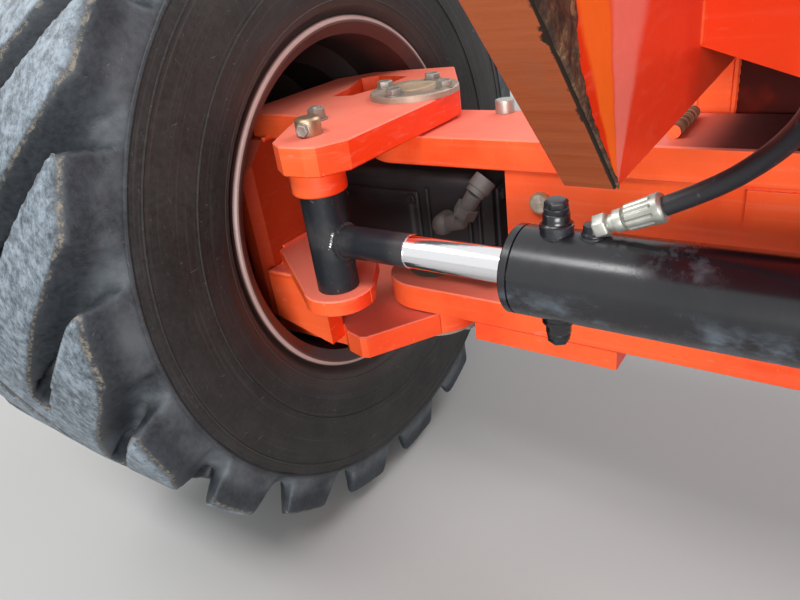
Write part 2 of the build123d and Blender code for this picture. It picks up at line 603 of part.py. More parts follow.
# Frame end: two side plates notched over the beam, pivot plates between them, deck on top
horn_top = SIDE_TIP_Y - SIDE_LEAN * (SIDE_TOP - SIDE_TIP_Z)
side_outline = [
    (horn_top, SIDE_TOP), (SIDE_TIP_Y, SIDE_TIP_Z),
    (NOTCH_Y, SIDE_TIP_Z + SIDE_SLOPE * (NOTCH_Y - SIDE_TIP_Y)), (NOTCH_Y, SIDE_REAR_LOW),
    (SIDE_REAR_Y, SIDE_REAR_LOW), (SIDE_REAR_Y, SIDE_TOP),
]
for name, start in (("left", -SIDE_X - SIDE_T), ("right", SIDE_X)):
    face = make_face(Polyline([(start, y, z) for y, z in side_outline], close=True))
    side_plate = extrude(face, amount=SIDE_T, dir=(1, 0, 0))
    ends = side_plate.faces().sort_by(Axis.X)
    side_plate = chamfer(ends[0].edges() + ends[-1].edges(), EDGE)
    write(f"frame_side_{name}", side_plate)

slope_x = SIDE_X - (PANEL_SIDE_Z - PANEL_LOW) / PANEL_SLOPE
plate_front = -NOTCH_Y - PLATE_T
front_half = [
    (SIDE_X, SIDE_TOP), (SIDE_X, PANEL_SIDE_Z), (slope_x, PANEL_LOW),
    (LOBE_R + LOBE_RISE, PANEL_LOW), (LOBE_R, PANEL_LOW - LOBE_RISE), (LOBE_R, PIVOT_Z),
]
rear_half = [(SIDE_X, SIDE_TOP), (SIDE_X, SIDE_REAR_LOW), (LOBE_R, SIDE_REAR_LOW), (LOBE_R, PIVOT_Z)]
for name, start, panel_half in (("front", plate_front, front_half), ("rear", NOTCH_Y, rear_half)):
    panel_points = panel_half + [(-x, z) for x, z in reversed(panel_half)]
    face = make_face(Polyline([(x, start, z) for x, z in panel_points], close=True))
    panel = extrude(face, amount=PLATE_T, dir=(0, 1, 0))
    lobe = Pos(0, start + PLATE_T / 2, PIVOT_Z) * Rot(90, 0, 0)
    panel = panel + lobe * Cylinder(LOBE_R, PLATE_T)
    panel = panel - lobe * Cylinder(PIVOT_PIN_R + SEAT_GAP, PLATE_T + 2)
    write(f"pivot_plate_{name}", panel)

pin_proud = 14.0
write("pivot_pin", across * Cylinder(PIVOT_PIN_R, 2 * (NOTCH_Y + PLATE_T + pin_proud)))

deck = Pos(0, (horn_top + SIDE_REAR_Y) / 2, SIDE_TOP + DECK_T / 2) * Box(
    2 * (SIDE_X + SIDE_T), SIDE_REAR_Y - horn_top, DECK_T)
write("frame_deck", deck)
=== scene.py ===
# %% [markdown]
# # Steering axle of a boom lift
# This lesson dresses a steering axle whose rigid parts come from CAD as a fixed frame: every cell adds
# a finish or a small part to them. X runs along the axle, the wheel that the camera looks at is at -X,
# the cylinders are at -Y, and Z is up. All lengths are in metres.

# %% Load the frame and keep its box
from math import atan2, cos, hypot, pi, radians, sin
from random import Random

import bmesh
import bpy
from mathutils import Matrix, Vector, noise as place_noise


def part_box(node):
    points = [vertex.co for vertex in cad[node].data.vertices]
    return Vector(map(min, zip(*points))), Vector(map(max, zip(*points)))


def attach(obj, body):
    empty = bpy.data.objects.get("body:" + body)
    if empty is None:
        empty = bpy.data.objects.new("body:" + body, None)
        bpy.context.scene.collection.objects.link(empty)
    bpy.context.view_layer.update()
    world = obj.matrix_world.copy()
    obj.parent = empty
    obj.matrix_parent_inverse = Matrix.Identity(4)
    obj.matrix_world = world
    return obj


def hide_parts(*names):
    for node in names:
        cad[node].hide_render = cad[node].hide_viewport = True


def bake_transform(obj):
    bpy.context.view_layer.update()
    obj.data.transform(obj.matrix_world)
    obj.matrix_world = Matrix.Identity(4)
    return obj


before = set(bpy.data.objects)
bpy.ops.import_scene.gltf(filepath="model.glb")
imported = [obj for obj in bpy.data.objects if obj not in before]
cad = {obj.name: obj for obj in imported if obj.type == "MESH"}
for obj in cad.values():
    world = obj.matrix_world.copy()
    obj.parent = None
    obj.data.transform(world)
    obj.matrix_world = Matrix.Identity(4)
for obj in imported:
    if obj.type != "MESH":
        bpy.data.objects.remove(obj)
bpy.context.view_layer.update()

scene = bpy.context.scene
scene.view_settings.view_transform = "Standard"
print("nodes from CAD:", len(cad))

# %% [markdown]
# Every piece is placed from a few lengths of the real axle, such as the kingpins' distance from the
# middle and the wheel axis's depth below the frame's upper face. `at` turns a distance inboard of the
# left kingpin into the frame's X, so that a place on the knuckle reads as on the real one.

# %% Main places
KINGPIN_X = 0.707
AXIS_Z = -0.300
WHEEL_X = KINGPIN_X + 0.261
CYLINDER_Y = -0.1696
ROD_LIFT = 0.0261
PIN_U = -0.0107
FRAME_SIDE_X = 0.388
PIVOT_Z = AXIS_Z - 0.004
ARM_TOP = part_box("knuckle_arm_left")[1].z
CAP_LOW, CAP_TOP = (corner.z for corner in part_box("kingpins_left"))
BEAM_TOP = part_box("beam_top_flange")[1].z
ALONG_X, ALONG_Y, UP = Vector((1, 0, 0)), Vector((0, 1, 0)), Vector((0, 0, 1))


def at(u, y, z):
    """A point on the left end, u being inboard of the kingpin and z above the wheel axis."""
    return Vector((u - KINGPIN_X, y, z + AXIS_Z))


print("arm top", round(ARM_TOP, 4), "cap top", round(CAP_TOP, 4), "beam top", round(BEAM_TOP, 4))

# %% [markdown]
# The camera stands in front of the beam and looks down and outboard at the knuckle. It comes first,
# because each later piece is judged through it. It is turned by its own axes: right, down and forward.
# Blender's camera looks along -Z with +Y up, so down and forward enter with the sign turned round.

# %% Camera
PHOTO_WIDTH = 800
FOCAL_PIXELS = 663.844
SENSOR = 36.0
camera_place = Vector((-0.2718, -0.6379, -0.0206))
camera_right = Vector((0.82056, 0.55699, -0.12821))
camera_down = Vector((0.16831, -0.44984, -0.87711))
camera_forward = Vector((-0.54621, 0.69814, -0.46287))
bpy.ops.object.camera_add()
camera = bpy.context.object
camera.name = "camera"
camera.data.sensor_width = SENSOR
camera.data.lens = SENSOR * FOCAL_PIXELS / PHOTO_WIDTH
camera.data.clip_start = 0.02
turn = Matrix((camera_right, -camera_down, -camera_forward)).transposed().to_4x4()
camera.matrix_world = Matrix.Translation(camera_place) @ turn
scene.camera = camera
print("lens", round(camera.data.lens, 2))

# %% [markdown]
# The hose leaves its ferrule on the cylinder, climbs in one easy arc and goes into a fitting under the
# frame. A hose under bending load is one smooth line, so it is a NURBS curve with few control points.
# Its lower end swings with the cylinder and its upper end stays on the frame. The curve is then made
# a mesh.

# %% Steering hose
HOSE_RADIUS, HOSE_LENGTH = 0.0075, 0.220
hose_route = [
    (0.319, -0.165, 0.092), (0.351, -0.162, 0.107), (0.382, -0.171, 0.133), (0.403, -0.195, 0.163),
    (0.410, -0.220, 0.191), (0.412, -0.230, 0.220), (0.412, -0.230, 0.250),
]


def only(*pieces):
    """Selects these pieces alone and makes the first one active."""
    bpy.ops.object.select_all(action="DESELECT")
    for piece in pieces:
        piece.select_set(True)
    bpy.context.view_layer.objects.active = pieces[0]


def as_mesh(piece):
    """Makes a curve's object a mesh."""
    only(piece)
    bpy.ops.object.convert(target="MESH")
    return bpy.context.object


def round_line(name, radius, resolution):
    """A curve with a round section and closed ends, and the object that shows it."""
    line = bpy.data.curves.new(name, "CURVE")
    line.dimensions = "3D"
    line.bevel_depth = radius
    line.bevel_resolution = resolution
    line.use_fill_caps = True
    shown = bpy.data.objects.new(name, line)
    scene.collection.objects.link(shown)
    return line, shown


hose_line, steering_hose = round_line("steering_hose", HOSE_RADIUS, 6)
run = hose_line.splines.new("NURBS")
run.points.add(len(hose_route) - 1)
for point, place in zip(run.points, hose_route):
    point.co = (*at(*place), 1)
run.order_u = 3
run.use_endpoint_u = True
run.resolution_u = 12
bare_hose = steering_hose.copy()
bare_hose.data = hose_line.copy()
bare_hose.data.bevel_depth = 0
hose_middle = bpy.data.meshes.new_from_object(bare_hose)
bpy.data.meshes.remove(hose_middle)
bpy.data.objects.remove(bare_hose)
as_mesh(steering_hose)
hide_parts("hose_left")
at(*hose_route[0])
at(*hose_route[-1])
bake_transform(steering_hose)
at(*hose_route[0])

# %% [markdown]
# ## Patterns as sums
# Every finish is a small sum of patterns, so a node's output is wrapped in a `Value` that is added and
# multiplied like a number: each sign makes one math node. A ramp whose first end is the higher one
# falls instead of rising.


# %% Helpers for node trees
class Value:
    """What a node puts out, in the tree that the node is in."""

    def __init__(self, socket):
        self.socket, self.tree = socket, socket.id_data

    def combine(self, operation, first, second=0.5):
        """A math node on two values, each of them a Value or a number."""
        return node(self.tree, "Math", 0, {0: first, 1: second}, operation=operation)

    def __add__(self, other):
        return self.combine("ADD", self, other)

    def __sub__(self, other):
        return self.combine("SUBTRACT", self, other)

    def __rsub__(self, other):
        return self.combine("SUBTRACT", other, self)

    def __mul__(self, other):
        return self.combine("MULTIPLY", self, other)

    def __truediv__(self, other):
        return self.combine("DIVIDE", self, other)

    def __abs__(self):
        return self.combine("ABSOLUTE", self)

    def clamped(self):
        """The same value, held between nought and one by the node that makes it."""
        self.socket.node.use_clamp = True
        return self


def wire(source, target):
    """Links a value to a socket, or sets the socket where a plain number or colour is given."""
    if isinstance(source, Value):
        target.id_data.links.new(source.socket, target)
    else:
        target.default_value = (*source, 1) if target.type == "RGBA" else source


def node(tree, kind, output, inputs, **settings):
    """Adds a node with its settings, wires its inputs by their labels, and gives one output."""
    made = tree.nodes.new("ShaderNode" + kind)
    for label, value in settings.items():
        setattr(made, label, value)
    for label, source in inputs.items():
        wire(source, made.inputs[label])
    return Value(made.outputs[output])


def larger(first, second):
    """The larger of two values."""
    return first.combine("MAXIMUM", first, second)


def distance(first, second):
    """How far a point is from a middle, from its two distances along the axes."""
    square = first * first + second * second
    return square.combine("SQRT", square)


def own(tree, kind):
    """The surface's Object coordinates, which are the frame's own places, or its Normal."""
    return node(tree, "TexCoord", kind, {})


def parts(vector):
    """The X, Y and Z parts of a vector."""
    first = node(vector.tree, "SeparateXYZ", 0, {0: vector})
    return [Value(socket) for socket in first.socket.node.outputs]


def ramp(value, low, high):
    """Nought below low, one above high, and a smooth rise between them."""
    return node(value.tree, "MapRange", "Result", {"Value": value, "From Min": low, "From Max": high},
                interpolation_type="SMOOTHSTEP")


def noise(place, scale, detail=4.0, roughness=0.55):
    """A noise pattern's value at a place."""
    return node(place.tree, "TexNoise", "Fac",
                {"Vector": place, "Scale": scale, "Detail": detail, "Roughness": roughness})


def stretched(place, stretch, angle=(0, 0, 0)):
    """The coordinates turned and scaled by different amounts along X, Y and Z."""
    return node(place.tree, "Mapping", "Vector", {"Vector": place, "Scale": stretch, "Rotation": angle})


def mixed(factor, first, second):
    """Two colours mixed by a factor."""
    return node(factor.tree, "Mix", "Result", {"Factor": factor, "A": first, "B": second}, data_type="RGBA")


def new_finish(name, colour, roughness, metallic=0.0, shine=0.5):
    """A material, with its constants on its Principled shader's own sockets, and its coordinates."""
    finish = bpy.data.materials.new(name)
    finish.use_nodes = True
    sockets = finish.node_tree.nodes["Principled BSDF"].inputs
    wire(colour, sockets["Base Color"])
    for label, value in (("Roughness", roughness), ("Metallic", metallic), ("Specular IOR Level", shine)):
        sockets[label].default_value = value
    finish.diffuse_color = (*colour, 1)
    return finish, own(finish.node_tree, "Object")


print("node helpers ready")

# %% [markdown]
# The light is that of a bright overcast sky: a pale world lights everything, and broad lamps in front,
# above, on the left and behind give each side its sheen. The camera and the reflections see a white
# world and a pale floor, but the floor throws little light back up, as gravel does. Far out it fades
# into the white, so that no edge shows.

# %% Floor, world and lamps
FLOOR_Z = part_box("tyre_left")[0].z - 0.001
FLOOR_LIT, FLOOR_SEEN = (0.20, 0.195, 0.185), (0.42, 0.417, 0.41)
FADE_FROM, FADE_TO = 1.6, 5.0
bpy.ops.mesh.primitive_plane_add(size=30, location=(0, 0, FLOOR_Z))
floor = bpy.context.object
floor.name = "floor"
bpy.ops.object.transform_apply(location=True, rotation=True, scale=True)


def seen_directly(tree):
    """One for camera rays and for reflections, and nought for the light that is scattered."""
    return larger(*(node(tree, "LightPath", ray, {}) for ray in ("Is Camera Ray", "Is Glossy Ray")))


def mixed_shaders(factor, first, second, output):
    """Mixes two shaders into the tree's output."""
    mix = node(factor.tree, "MixShader", 0, {0: factor, 1: first, 2: second})
    wire(mix, factor.tree.nodes[output].inputs["Surface"])


floor_finish, place = new_finish("floor_pale", FLOOR_SEEN, 0.9)
floor.data.materials.append(floor_finish)
floor_shader = place.tree.nodes["Principled BSDF"]
seen = seen_directly(place.tree)
wire(mixed(seen, FLOOR_LIT, FLOOR_SEEN), floor_shader.inputs["Base Color"])
far = node(place.tree, "VectorMath", "Value", {0: place}, operation="LENGTH")
glow = node(place.tree, "Emission", 0, {"Color": (1, 1, 1), "Strength": 0.92})
mixed_shaders(ramp(far, FADE_FROM, FADE_TO) * seen, Value(floor_shader.outputs[0]), glow, "Material Output")

world = bpy.data.worlds.new("pale_sky")
scene.world = world
world.use_nodes = True
sky = node(world.node_tree, "Background", 0, {"Color": (0.93, 0.96, 1.0), "Strength": 0.42})
seen_sky = node(world.node_tree, "Background", 0, {"Color": (0.95, 0.95, 0.95)})
mixed_shaders(seen_directly(world.node_tree), sky, seen_sky, "World Output")

soft_lamps = [
    ("lamp_front", (1.35, -3.30, 0.05), (-0.45, 0, -0.25), 2.2, 1.2, 128),
    ("lamp_above", (-0.50, -1.47, 1.98), (-0.5, -0.1, -0.25), 1.9, 0.6, 48),
    ("lamp_left", (-2.3, -0.9, 1.5), (-0.5, -0.1, -0.3), 1.4, 1.4, 36),
    ("lamp_back", (0.4, 2.2, 1.8), (-0.2, 0, -0.2), 1.8, 1.8, 45),
]
for name, spot, target, width, height, power in soft_lamps:
    bpy.ops.object.light_add(type="AREA", location=spot)
    lamp = bpy.context.object
    lamp.name = name
    lamp.data.shape = "RECTANGLE"
    lamp.data.size, lamp.data.size_y = width, height
    lamp.data.energy = power
    lamp.rotation_euler = (Vector(target) - Vector(spot)).to_track_quat("-Z", "Y").to_euler()
print("lamps", len(soft_lamps), "and floor at", round(FLOOR_Z, 3))

# %% [markdown]
# ## Finishes
# The machine has worked outdoors. Three effects return on many finishes, so each is one shader node
# group with named inputs. Dust lies unevenly on what faces up: the upward part of the surface's normal,
# broken up by a cloudy noise and a fine one. Scratches are two noises drawn out in different
# directions and cut off high, so that only thin lines are left. Chips are the few highest spots of a
# coarse noise.


# %% Groups: settled dust, scratches and chips
def new_group(name, **inputs):
    """A shader node group with named inputs: gives it, its coordinates, its inputs and its mask."""
    group = bpy.data.node_groups.new(name, "ShaderNodeTree")
    labels = [label.replace("_", " ") for label in inputs]
    for label, value in zip(labels, inputs.values()):
        socket = group.interface.new_socket(label, in_out="INPUT", socket_type="NodeSocketFloat")
        socket.default_value = value
    group.interface.new_socket("Mask", in_out="OUTPUT", socket_type="NodeSocketFloat")
    inside = group.nodes.new("NodeGroupInput")
    mask = group.nodes.new("NodeGroupOutput").inputs["Mask"]
    return group, own(group, "Object"), [Value(inside.outputs[label]) for label in labels], mask


def use_group(place, group, **values):
    """Places a node group in a material with its own values, and gives its mask."""
    return node(place.tree, "Group", "Mask", values, node_tree=group)


settled_dust, place, (amount, patch_scale, grain_scale), mask = new_group(
    "settled_dust", Amount=0.6, Patch_Scale=9.0, Grain_Scale=160.0)
facing_up = ramp(parts(own(settled_dust, "Normal"))[2], 0.35, 0.95)
patches = noise(place, patch_scale, 5.0, 0.6)
grain = noise(place, grain_scale, 2.0)
cover = ramp(patches * 1.1 + grain * 0.35, 0.35, 1.05) * facing_up
wire((cover * amount).clamped(), mask)

scratches, place, (scale, cut), mask = new_group("scratches", Scale=60.0, Cut=0.64)
lines = [noise(stretched(place, stretch, angle), scale, 2.0, 0.5)
         for stretch, angle in (((1, 14, 3), (0.3, 0.5, 0.4)), ((12, 1, 5), (0.9, 0.2, 1.1)))]
wire(ramp(larger(*lines), cut, cut + 0.05), mask)

chips, place, (scale, cut), mask = new_group("chips", Scale=30.0, Cut=0.70)
wire(ramp(noise(place, scale, 6.0, 0.7), cut, cut + 0.015), mask)
print("groups", settled_dust.name, scratches.name, chips.name)


# %% [markdown]
# Each finish ends in the same way: its colour and roughness go to the shader, and its height pattern
# goes through one Bump node. Black paint has faded patches, scratches, and dust on top.

# %% Black paints
def surface(finish, skin, rough, height, depth, strength, metal=None):
    """Wires a finish's patterns to its shader, the height through a Bump node."""
    sockets = finish.node_tree.nodes["Principled BSDF"].inputs
    bump = node(height.tree, "Bump", 0, {"Distance": depth, "Strength": strength, "Height": height})
    sources = {"Normal": bump, "Base Color": skin, "Roughness": rough, "Metallic": metal}
    for label, source in sources.items():
        if source is not None:
            wire(source, sockets[label])
    return finish


def painted(name, colour, dusty, dust, roughness):
    """Black paint, or rubber, with a colour that its dust has."""
    finish, place = new_finish(name, colour, roughness, shine=0.3)
    tone_shift = [c * 1.15 + 0.012 for c in colour]
    body = mixed(ramp(noise(place, 5.0), 0.3, 0.75), [c * 0.9 for c in colour], tone_shift)
    cover = use_group(place, settled_dust, Amount=dust)
    marks = use_group(place, scratches, Scale=34.0, Cut=0.68)
    skin = mixed(marks * 0.35, mixed(cover, body, dusty), dusty)
    uneven = noise(place, 40.0, 3.0) * 0.16
    rough = (cover * 0.45 + uneven + (roughness - 0.08)).clamped()
    return surface(finish, skin, rough, noise(place, 190.0, 2.0), 0.0004, 0.25)


black_paint = painted("black_paint", (0.012, 0.013, 0.016), (0.12, 0.13, 0.15), 0.35, 0.26)
motor_black = painted("motor_black", (0.010, 0.008, 0.009), (0.050, 0.038, 0.035), 0.8, 0.55)
hose_rubber = painted("hose_rubber", (0.018, 0.019, 0.023), (0.13, 0.12, 0.115), 0.65, 0.40)
steering_hose.data.materials.append(hose_rubber)
print("paints", black_paint.name, motor_black.name, hose_rubber.name)

# %% [markdown]
# The orange is a strong red-orange gloss. The faces towards the cylinders are painted a lighter orange,
# partly faded paint and partly painted light on the lit front, and the upper faces turn salmon pink,
# partly dust and partly a painted sheen of the sky, so the finish reads the surface's own normal.
# Under the frame end the beam's top is painted a dark grey, a painted shade of the frame end.

# %% Orange paint
RED_ORANGE = (0.80, 0.042, 0.007)
# The lighter orange is faded paint and painted light on the front faces; the pink is dust and painted sheen
# on the tops.
FADED_AND_LIT_ORANGE = (0.95, 0.135, 0.036)
DUST_AND_SHEEN_PINK = (0.93, 0.255, 0.175)
RUST_DARK = (0.022, 0.014, 0.010)
RUST_BROWN = (0.30, 0.13, 0.055)
# Dark grey of the painted shade on the beam's top under the frame end.
BEAM_PAINTED_SHADE = (0.062, 0.036, 0.040)
FRAME_COVER = (0.415, 0.365)


def orange(name, tone_shift=0.9, dust=0.9, gloss=0.30, over=None, shine=0.26, marked=1.0, near=FADED_AND_LIT_ORANGE,
           deep=RED_ORANGE):
    """Red-orange gloss, lighter towards the front (faded paint and painted light) and pink above (dust and
    painted sheen); `over` lays more on top of it.
    """
    finish, place = new_finish(name, deep, gloss, shine=shine)
    facing = parts(own(place.tree, "Normal"))
    cloudy = noise(place, 7.0, 5.0, 0.6)
    # The front faces get the lighter orange: painted light, partly faded paint.
    front = ramp(facing[1], -0.2, -0.85) * ramp(cloudy, 0.15, 0.6)
    body = mixed(front * tone_shift, deep, near)
    streaks = noise(stretched(place, (1.5, 12, 60)), 3.0, 4.0, 0.6)
    body = mixed(ramp(streaks, 0.5, 0.75) * (0.22 * marked), body, DUST_AND_SHEEN_PINK)
    # The upper faces get the pink: dust, partly a painted sheen of the sky.
    cover = (cloudy * 0.9 + 0.38).clamped() * ramp(facing[2], 0.3, 0.9) * dust
    marks = use_group(place, scratches, Scale=30.0, Cut=0.70)
    skin = mixed(marks * (0.3 * marked), mixed(cover, body, DUST_AND_SHEEN_PINK), DUST_AND_SHEEN_PINK)
    skin = mixed(use_group(place, chips, Scale=24.0, Cut=0.77), skin, RUST_BROWN)
    rough = (cover * 0.34 + (gloss - 0.05) + noise(place, 45.0, 3.0) * 0.14).clamped()
    height = noise(place, 190.0, 2.0)
    if over:
        skin, rough, height = over(place, facing, skin, rough, height)
    return surface(finish, skin, rough, height, 0.0005, 0.3)


def shade_under_frame(place, facing, skin, rough, height):
    """Painted shade: dark grey on the beam's top, under the frame end."""
    # The frame end's shade is painted on the beam's top.
    shaded_top = ramp(abs(parts(place)[0]), *FRAME_COVER) * ramp(facing[2], 0.3, 0.9)
    return mixed(shaded_top * 0.93, skin, BEAM_PAINTED_SHADE), rough, height


orange_paint = orange("orange_paint")
beam_orange = orange("beam_orange", over=shade_under_frame)
shaded_orange = orange("shaded_orange", tone_shift=0.15, dust=0.35, shine=0.10, marked=0.3)
# A darker copy for the knuckle's back plate inside the rim: painted shade.
wheel_side_shaded_orange = orange("wheel_side_shaded_orange", tone_shift=0.5, dust=0.4, shine=0.06, marked=0.2,
                           near=(0.50, 0.055, 0.016), deep=(0.36, 0.028, 0.008))
# A copy whose front faces are painted near black, for the rear pivot plate under the frame: painted shade.
rear_shaded_orange = orange("rear_shaded_orange", tone_shift=1.0, dust=0.35, gloss=0.45, shine=0.06, marked=0.0,
                      near=(0.055, 0.008, 0.006))
print("orange finishes", 5)

# %% [markdown]
# The rim's lip is a pale pinkish grey, but inside it the steel is painted dark, as painted shade, all
# the way to the disc. The distance from the middle of the axle tells the lip from the inside. Each pair
# of lengths is where an effect begins and where it is full.

# %% Rim finish
PAST_LIP, OUTER_DISH, DEEP_INSIDE = (0.8038, 0.8060), (1.037, 1.030), (0.820, 0.880)
LIP_BORE = (0.2172, 0.2158)


def rim_finish():
    """Pale pink-grey paint on the lips and the outer dish, and painted shade, dark brown to black, inside.
    """
    finish, place = new_finish("rim_paint", (0.58, 0.40, 0.36), 0.42)
    x, y, z = parts(place)
    outboard, radius = abs(x), distance(z - AXIS_Z, y)
    cloudy = noise(place, 16.0, 5.0, 0.65)
    pale = mixed(cloudy, (0.36, 0.225, 0.20), (0.54, 0.38, 0.345))
    pale = mixed(use_group(place, chips, Scale=30.0, Cut=0.72), pale, (0.28, 0.11, 0.07))
    # Painted shade inside the rim, darkest deep inside.
    inside_shade = mixed(cloudy, (0.045, 0.015, 0.013), (0.095, 0.034, 0.029))
    inside_shade = mixed(ramp(outboard, *DEEP_INSIDE) * 0.90, inside_shade, (0.010, 0.007, 0.007))
    past_lip = larger(ramp(outboard, *PAST_LIP), ramp(radius, *LIP_BORE))
    inside = past_lip * ramp(outboard, *OUTER_DISH)
    return surface(finish, mixed(inside, pale, inside_shade), cloudy * 0.25 + 0.34,
                   noise(place, 150.0, 3.0), 0.0005, 0.3)


rim_paint = rim_finish()
print("finish", rim_paint.name)

# %% [markdown]
# The frame's horn was cut by torch: its narrow front face is dull brown-orange with drag lines, a noise
# that is fine up the slope and long across it. Bands of painted sheen, reflections of the light painted
# onto the paint, spread over its side from the tip, with a plain red painted past them. A point's
# distance behind the cut edge, divided by its height above the tip, is the same all along such a band,
# so that ratio is its mask.

# %% Horn finish
TIP_Y, TIP_Z = -0.275, AXIS_Z + 0.143
HORN_LEAN = 0.93
# Bands of painted sheen: each has where it rises, where it falls, its strength and its colour.
PAINTED_SHEEN_BANDS = [((0.30, 0.40), (0.78, 0.70), 0.85, (1.0, 0.20, 0.022)),
               ((0.72, 0.80), (1.55, 1.25), 0.62, (0.95, 0.33, 0.27))]


def torch_cut(place, facing, skin, rough, height):
    """Lays the cut face's dull drag lines and the side's painted sheen bands over the paint."""
    x, y, z = parts(place)
    lift = z - TIP_Z
    behind = y - (TIP_Y - lift * HORN_LEAN)
    sideways = ramp(abs(facing[0]), 0.6, 0.9)
    wavy = (noise(place, 16.0) - 0.5) * 0.25
    spread = behind / larger(lift, 0.004) + wavy
    # Each band is a painted sheen, a reflection painted on the side.
    for rise, fall, strength, colour in PAINTED_SHEEN_BANDS:
        band = ramp(spread, *rise) * ramp(spread, *fall)
        skin = mixed(band * sideways * strength, skin, colour)
    # Past the painted sheen bands the side is painted a plain red.
    skin = mixed(ramp(spread, 1.3, 1.6) * sideways * 0.5, skin, (0.82, 0.075, 0.030))
    cut = ramp(facing[1], -0.45, -0.62) * ramp(facing[2], -0.3, -0.5)
    drag = noise(stretched(place, (6, 90, 110)), 2.2, 5.0, 0.65)
    dull = mixed(ramp(drag, 0.30, 0.72), (0.30, 0.062, 0.018), (0.37, 0.086, 0.030))
    dull = mixed(ramp(noise(place, 22.0, 6.0, 0.65), 0.52, 0.70), dull, (0.285, 0.080, 0.037))
    dull = mixed(ramp(lift, 0.04, 0.13) * 0.5, dull, (0.50, 0.14, 0.055))
    from_corner = abs(x) - FRAME_SIDE_X
    ragged = (noise(place, 50.0, 5.0, 0.7) - 0.46) * 0.020 * ramp(lift, -0.03, 0.10)
    broken_edge = ramp(from_corner, 0.0024, 0.0018) * ramp(behind, 0.0034, 0.0026)
    nicked = larger(ramp(from_corner - ragged, 0.0026, 0.0008) * cut, broken_edge)
    skin = mixed(nicked, mixed(cut, skin, dull), RUST_DARK)
    return skin, (rough + cut * 0.34).clamped(), height + drag * cut * 2.0 - nicked * 2.5


horn_paint = orange("horn_paint", over=torch_cut, shine=0.16)
print("finish", horn_paint.name)

# %% [markdown]
# Bare metal has grain, darker blotches and specks of rust, which is rough and hardly metallic. Each
# metal has a colour, a roughness, an amount of rust and a metallic share.


# %% Metals
def bare_metal(name, colour, roughness, rust, metallic):
    """Metal with fine grain and blotches, with as much rust on it as is asked."""
    finish, place = new_finish(name, colour, roughness, metallic)
    blotches = ramp(noise(place, 28.0, 5.0, 0.65), 0.35, 0.7)
    skin = mixed(blotches, [c * 0.66 for c in colour], colour)
    rusted = ramp(noise(place, 55.0, 6.0, 0.7), 0.78 - 0.45 * rust, 0.86 - 0.45 * rust)
    deep = mixed(ramp(noise(place, 140.0, 3.0), 0.35, 0.65), (0.040, 0.020, 0.012), RUST_BROWN)
    return surface(finish, mixed(rusted, skin, deep), (rusted * 0.4 + roughness).clamped(),
                   noise(place, 320.0, 3.0), 0.0004, 0.3, (metallic - rusted * metallic).clamped())


METALS = {
    "zinc": ((0.55, 0.56, 0.50), 0.42, 0.14, 0.7),
    "brass_zinc": ((0.40, 0.28, 0.18), 0.40, 0.15, 0.75),
    "bolt_steel": ((0.34, 0.31, 0.27), 0.5, 0.12, 0.55),
    "worn_steel": ((0.42, 0.32, 0.25), 0.55, 0.30, 0.35),
    "dusty_fitting": ((0.105, 0.095, 0.088), 0.65, 0.15, 0.3),
    "pale_tan": ((0.50, 0.36, 0.24), 0.6, 0.35, 0.3),
    "weld_steel": ((0.66, 0.66, 0.64), 0.42, 0.1, 0.7),
}
zinc, brass_zinc, bolt_steel, worn_steel, dusty_fitting, pale_tan, weld_steel = (
    bare_metal(name, *values) for name, values in METALS.items())
print("metals", len(METALS))

# %% [markdown]
# Three pieces carry two finishes on one solid, mixed by a point's place along it. The rod is chromed,
# but its eye and stub are black; the stop bars are rusty with a painted end; the plugs in the beam's
# web are pale with a rusty ring.

# %% Rod, stop bars and web plugs
CHROME = (0.88, 0.88, 0.90)
ROD_PAINT_END, STUB_DUST, BAR_PAINT = (0.0915, 0.0905), (0.066, 0.088), (-0.0325, -0.0336)
PLUG_X, PLUG_Z, PLUG_EDGE = 0.5344, AXIS_Z + 0.0406, (0.0105, 0.0125)


def rod_finish():
    """Chrome, with black paint over the eye and the stub up to 91 mm inboard of the kingpin."""
    finish, place = new_finish("rod_chrome", CHROME, 0.10, 1.0, 0.25)
    inboard = KINGPIN_X - abs(parts(place)[0])
    wander = (noise(place, 60.0, 3.0) - 0.5) * 0.004
    black = ramp(inboard + wander, *ROD_PAINT_END)
    dusty = ramp(noise(place, 18.0, 5.0, 0.6), 0.45, 0.7) * 0.25
    dusty = larger(dusty, ramp(inboard, *STUB_DUST) * 0.30)
    marks = use_group(place, scratches, Scale=46.0, Cut=0.70)
    paint = mixed(dusty, (0.014, 0.016, 0.020), (0.115, 0.105, 0.10))
    paint = mixed(marks * 0.22, paint, (0.26, 0.28, 0.30))
    fine_lines = noise(stretched(place, (260, 3, 3)), 2.0, 3.0)
    return surface(finish, mixed(black, CHROME, paint), black * 0.20 + fine_lines * 0.10 + 0.06,
                   noise(place, 120.0, 3.0), 0.0003, 0.2, 1.0 - black)


def stop_bar_finish():
    """Rusty ribbed bar whose front end is painted orange."""
    finish, place = new_finish("stop_bar_rust", RUST_BROWN, 0.8)
    ribs = noise(stretched(place, (8, 220, 8)), 2.0, 3.0)
    rust = mixed(ramp(ribs, 0.38, 0.62), (0.10, 0.035, 0.018), (0.40, 0.19, 0.10))
    painted_end = ramp(parts(place)[1], *BAR_PAINT)
    return surface(finish, mixed(painted_end, rust, FADED_AND_LIT_ORANGE), 0.8, ribs, 0.002, 0.7)


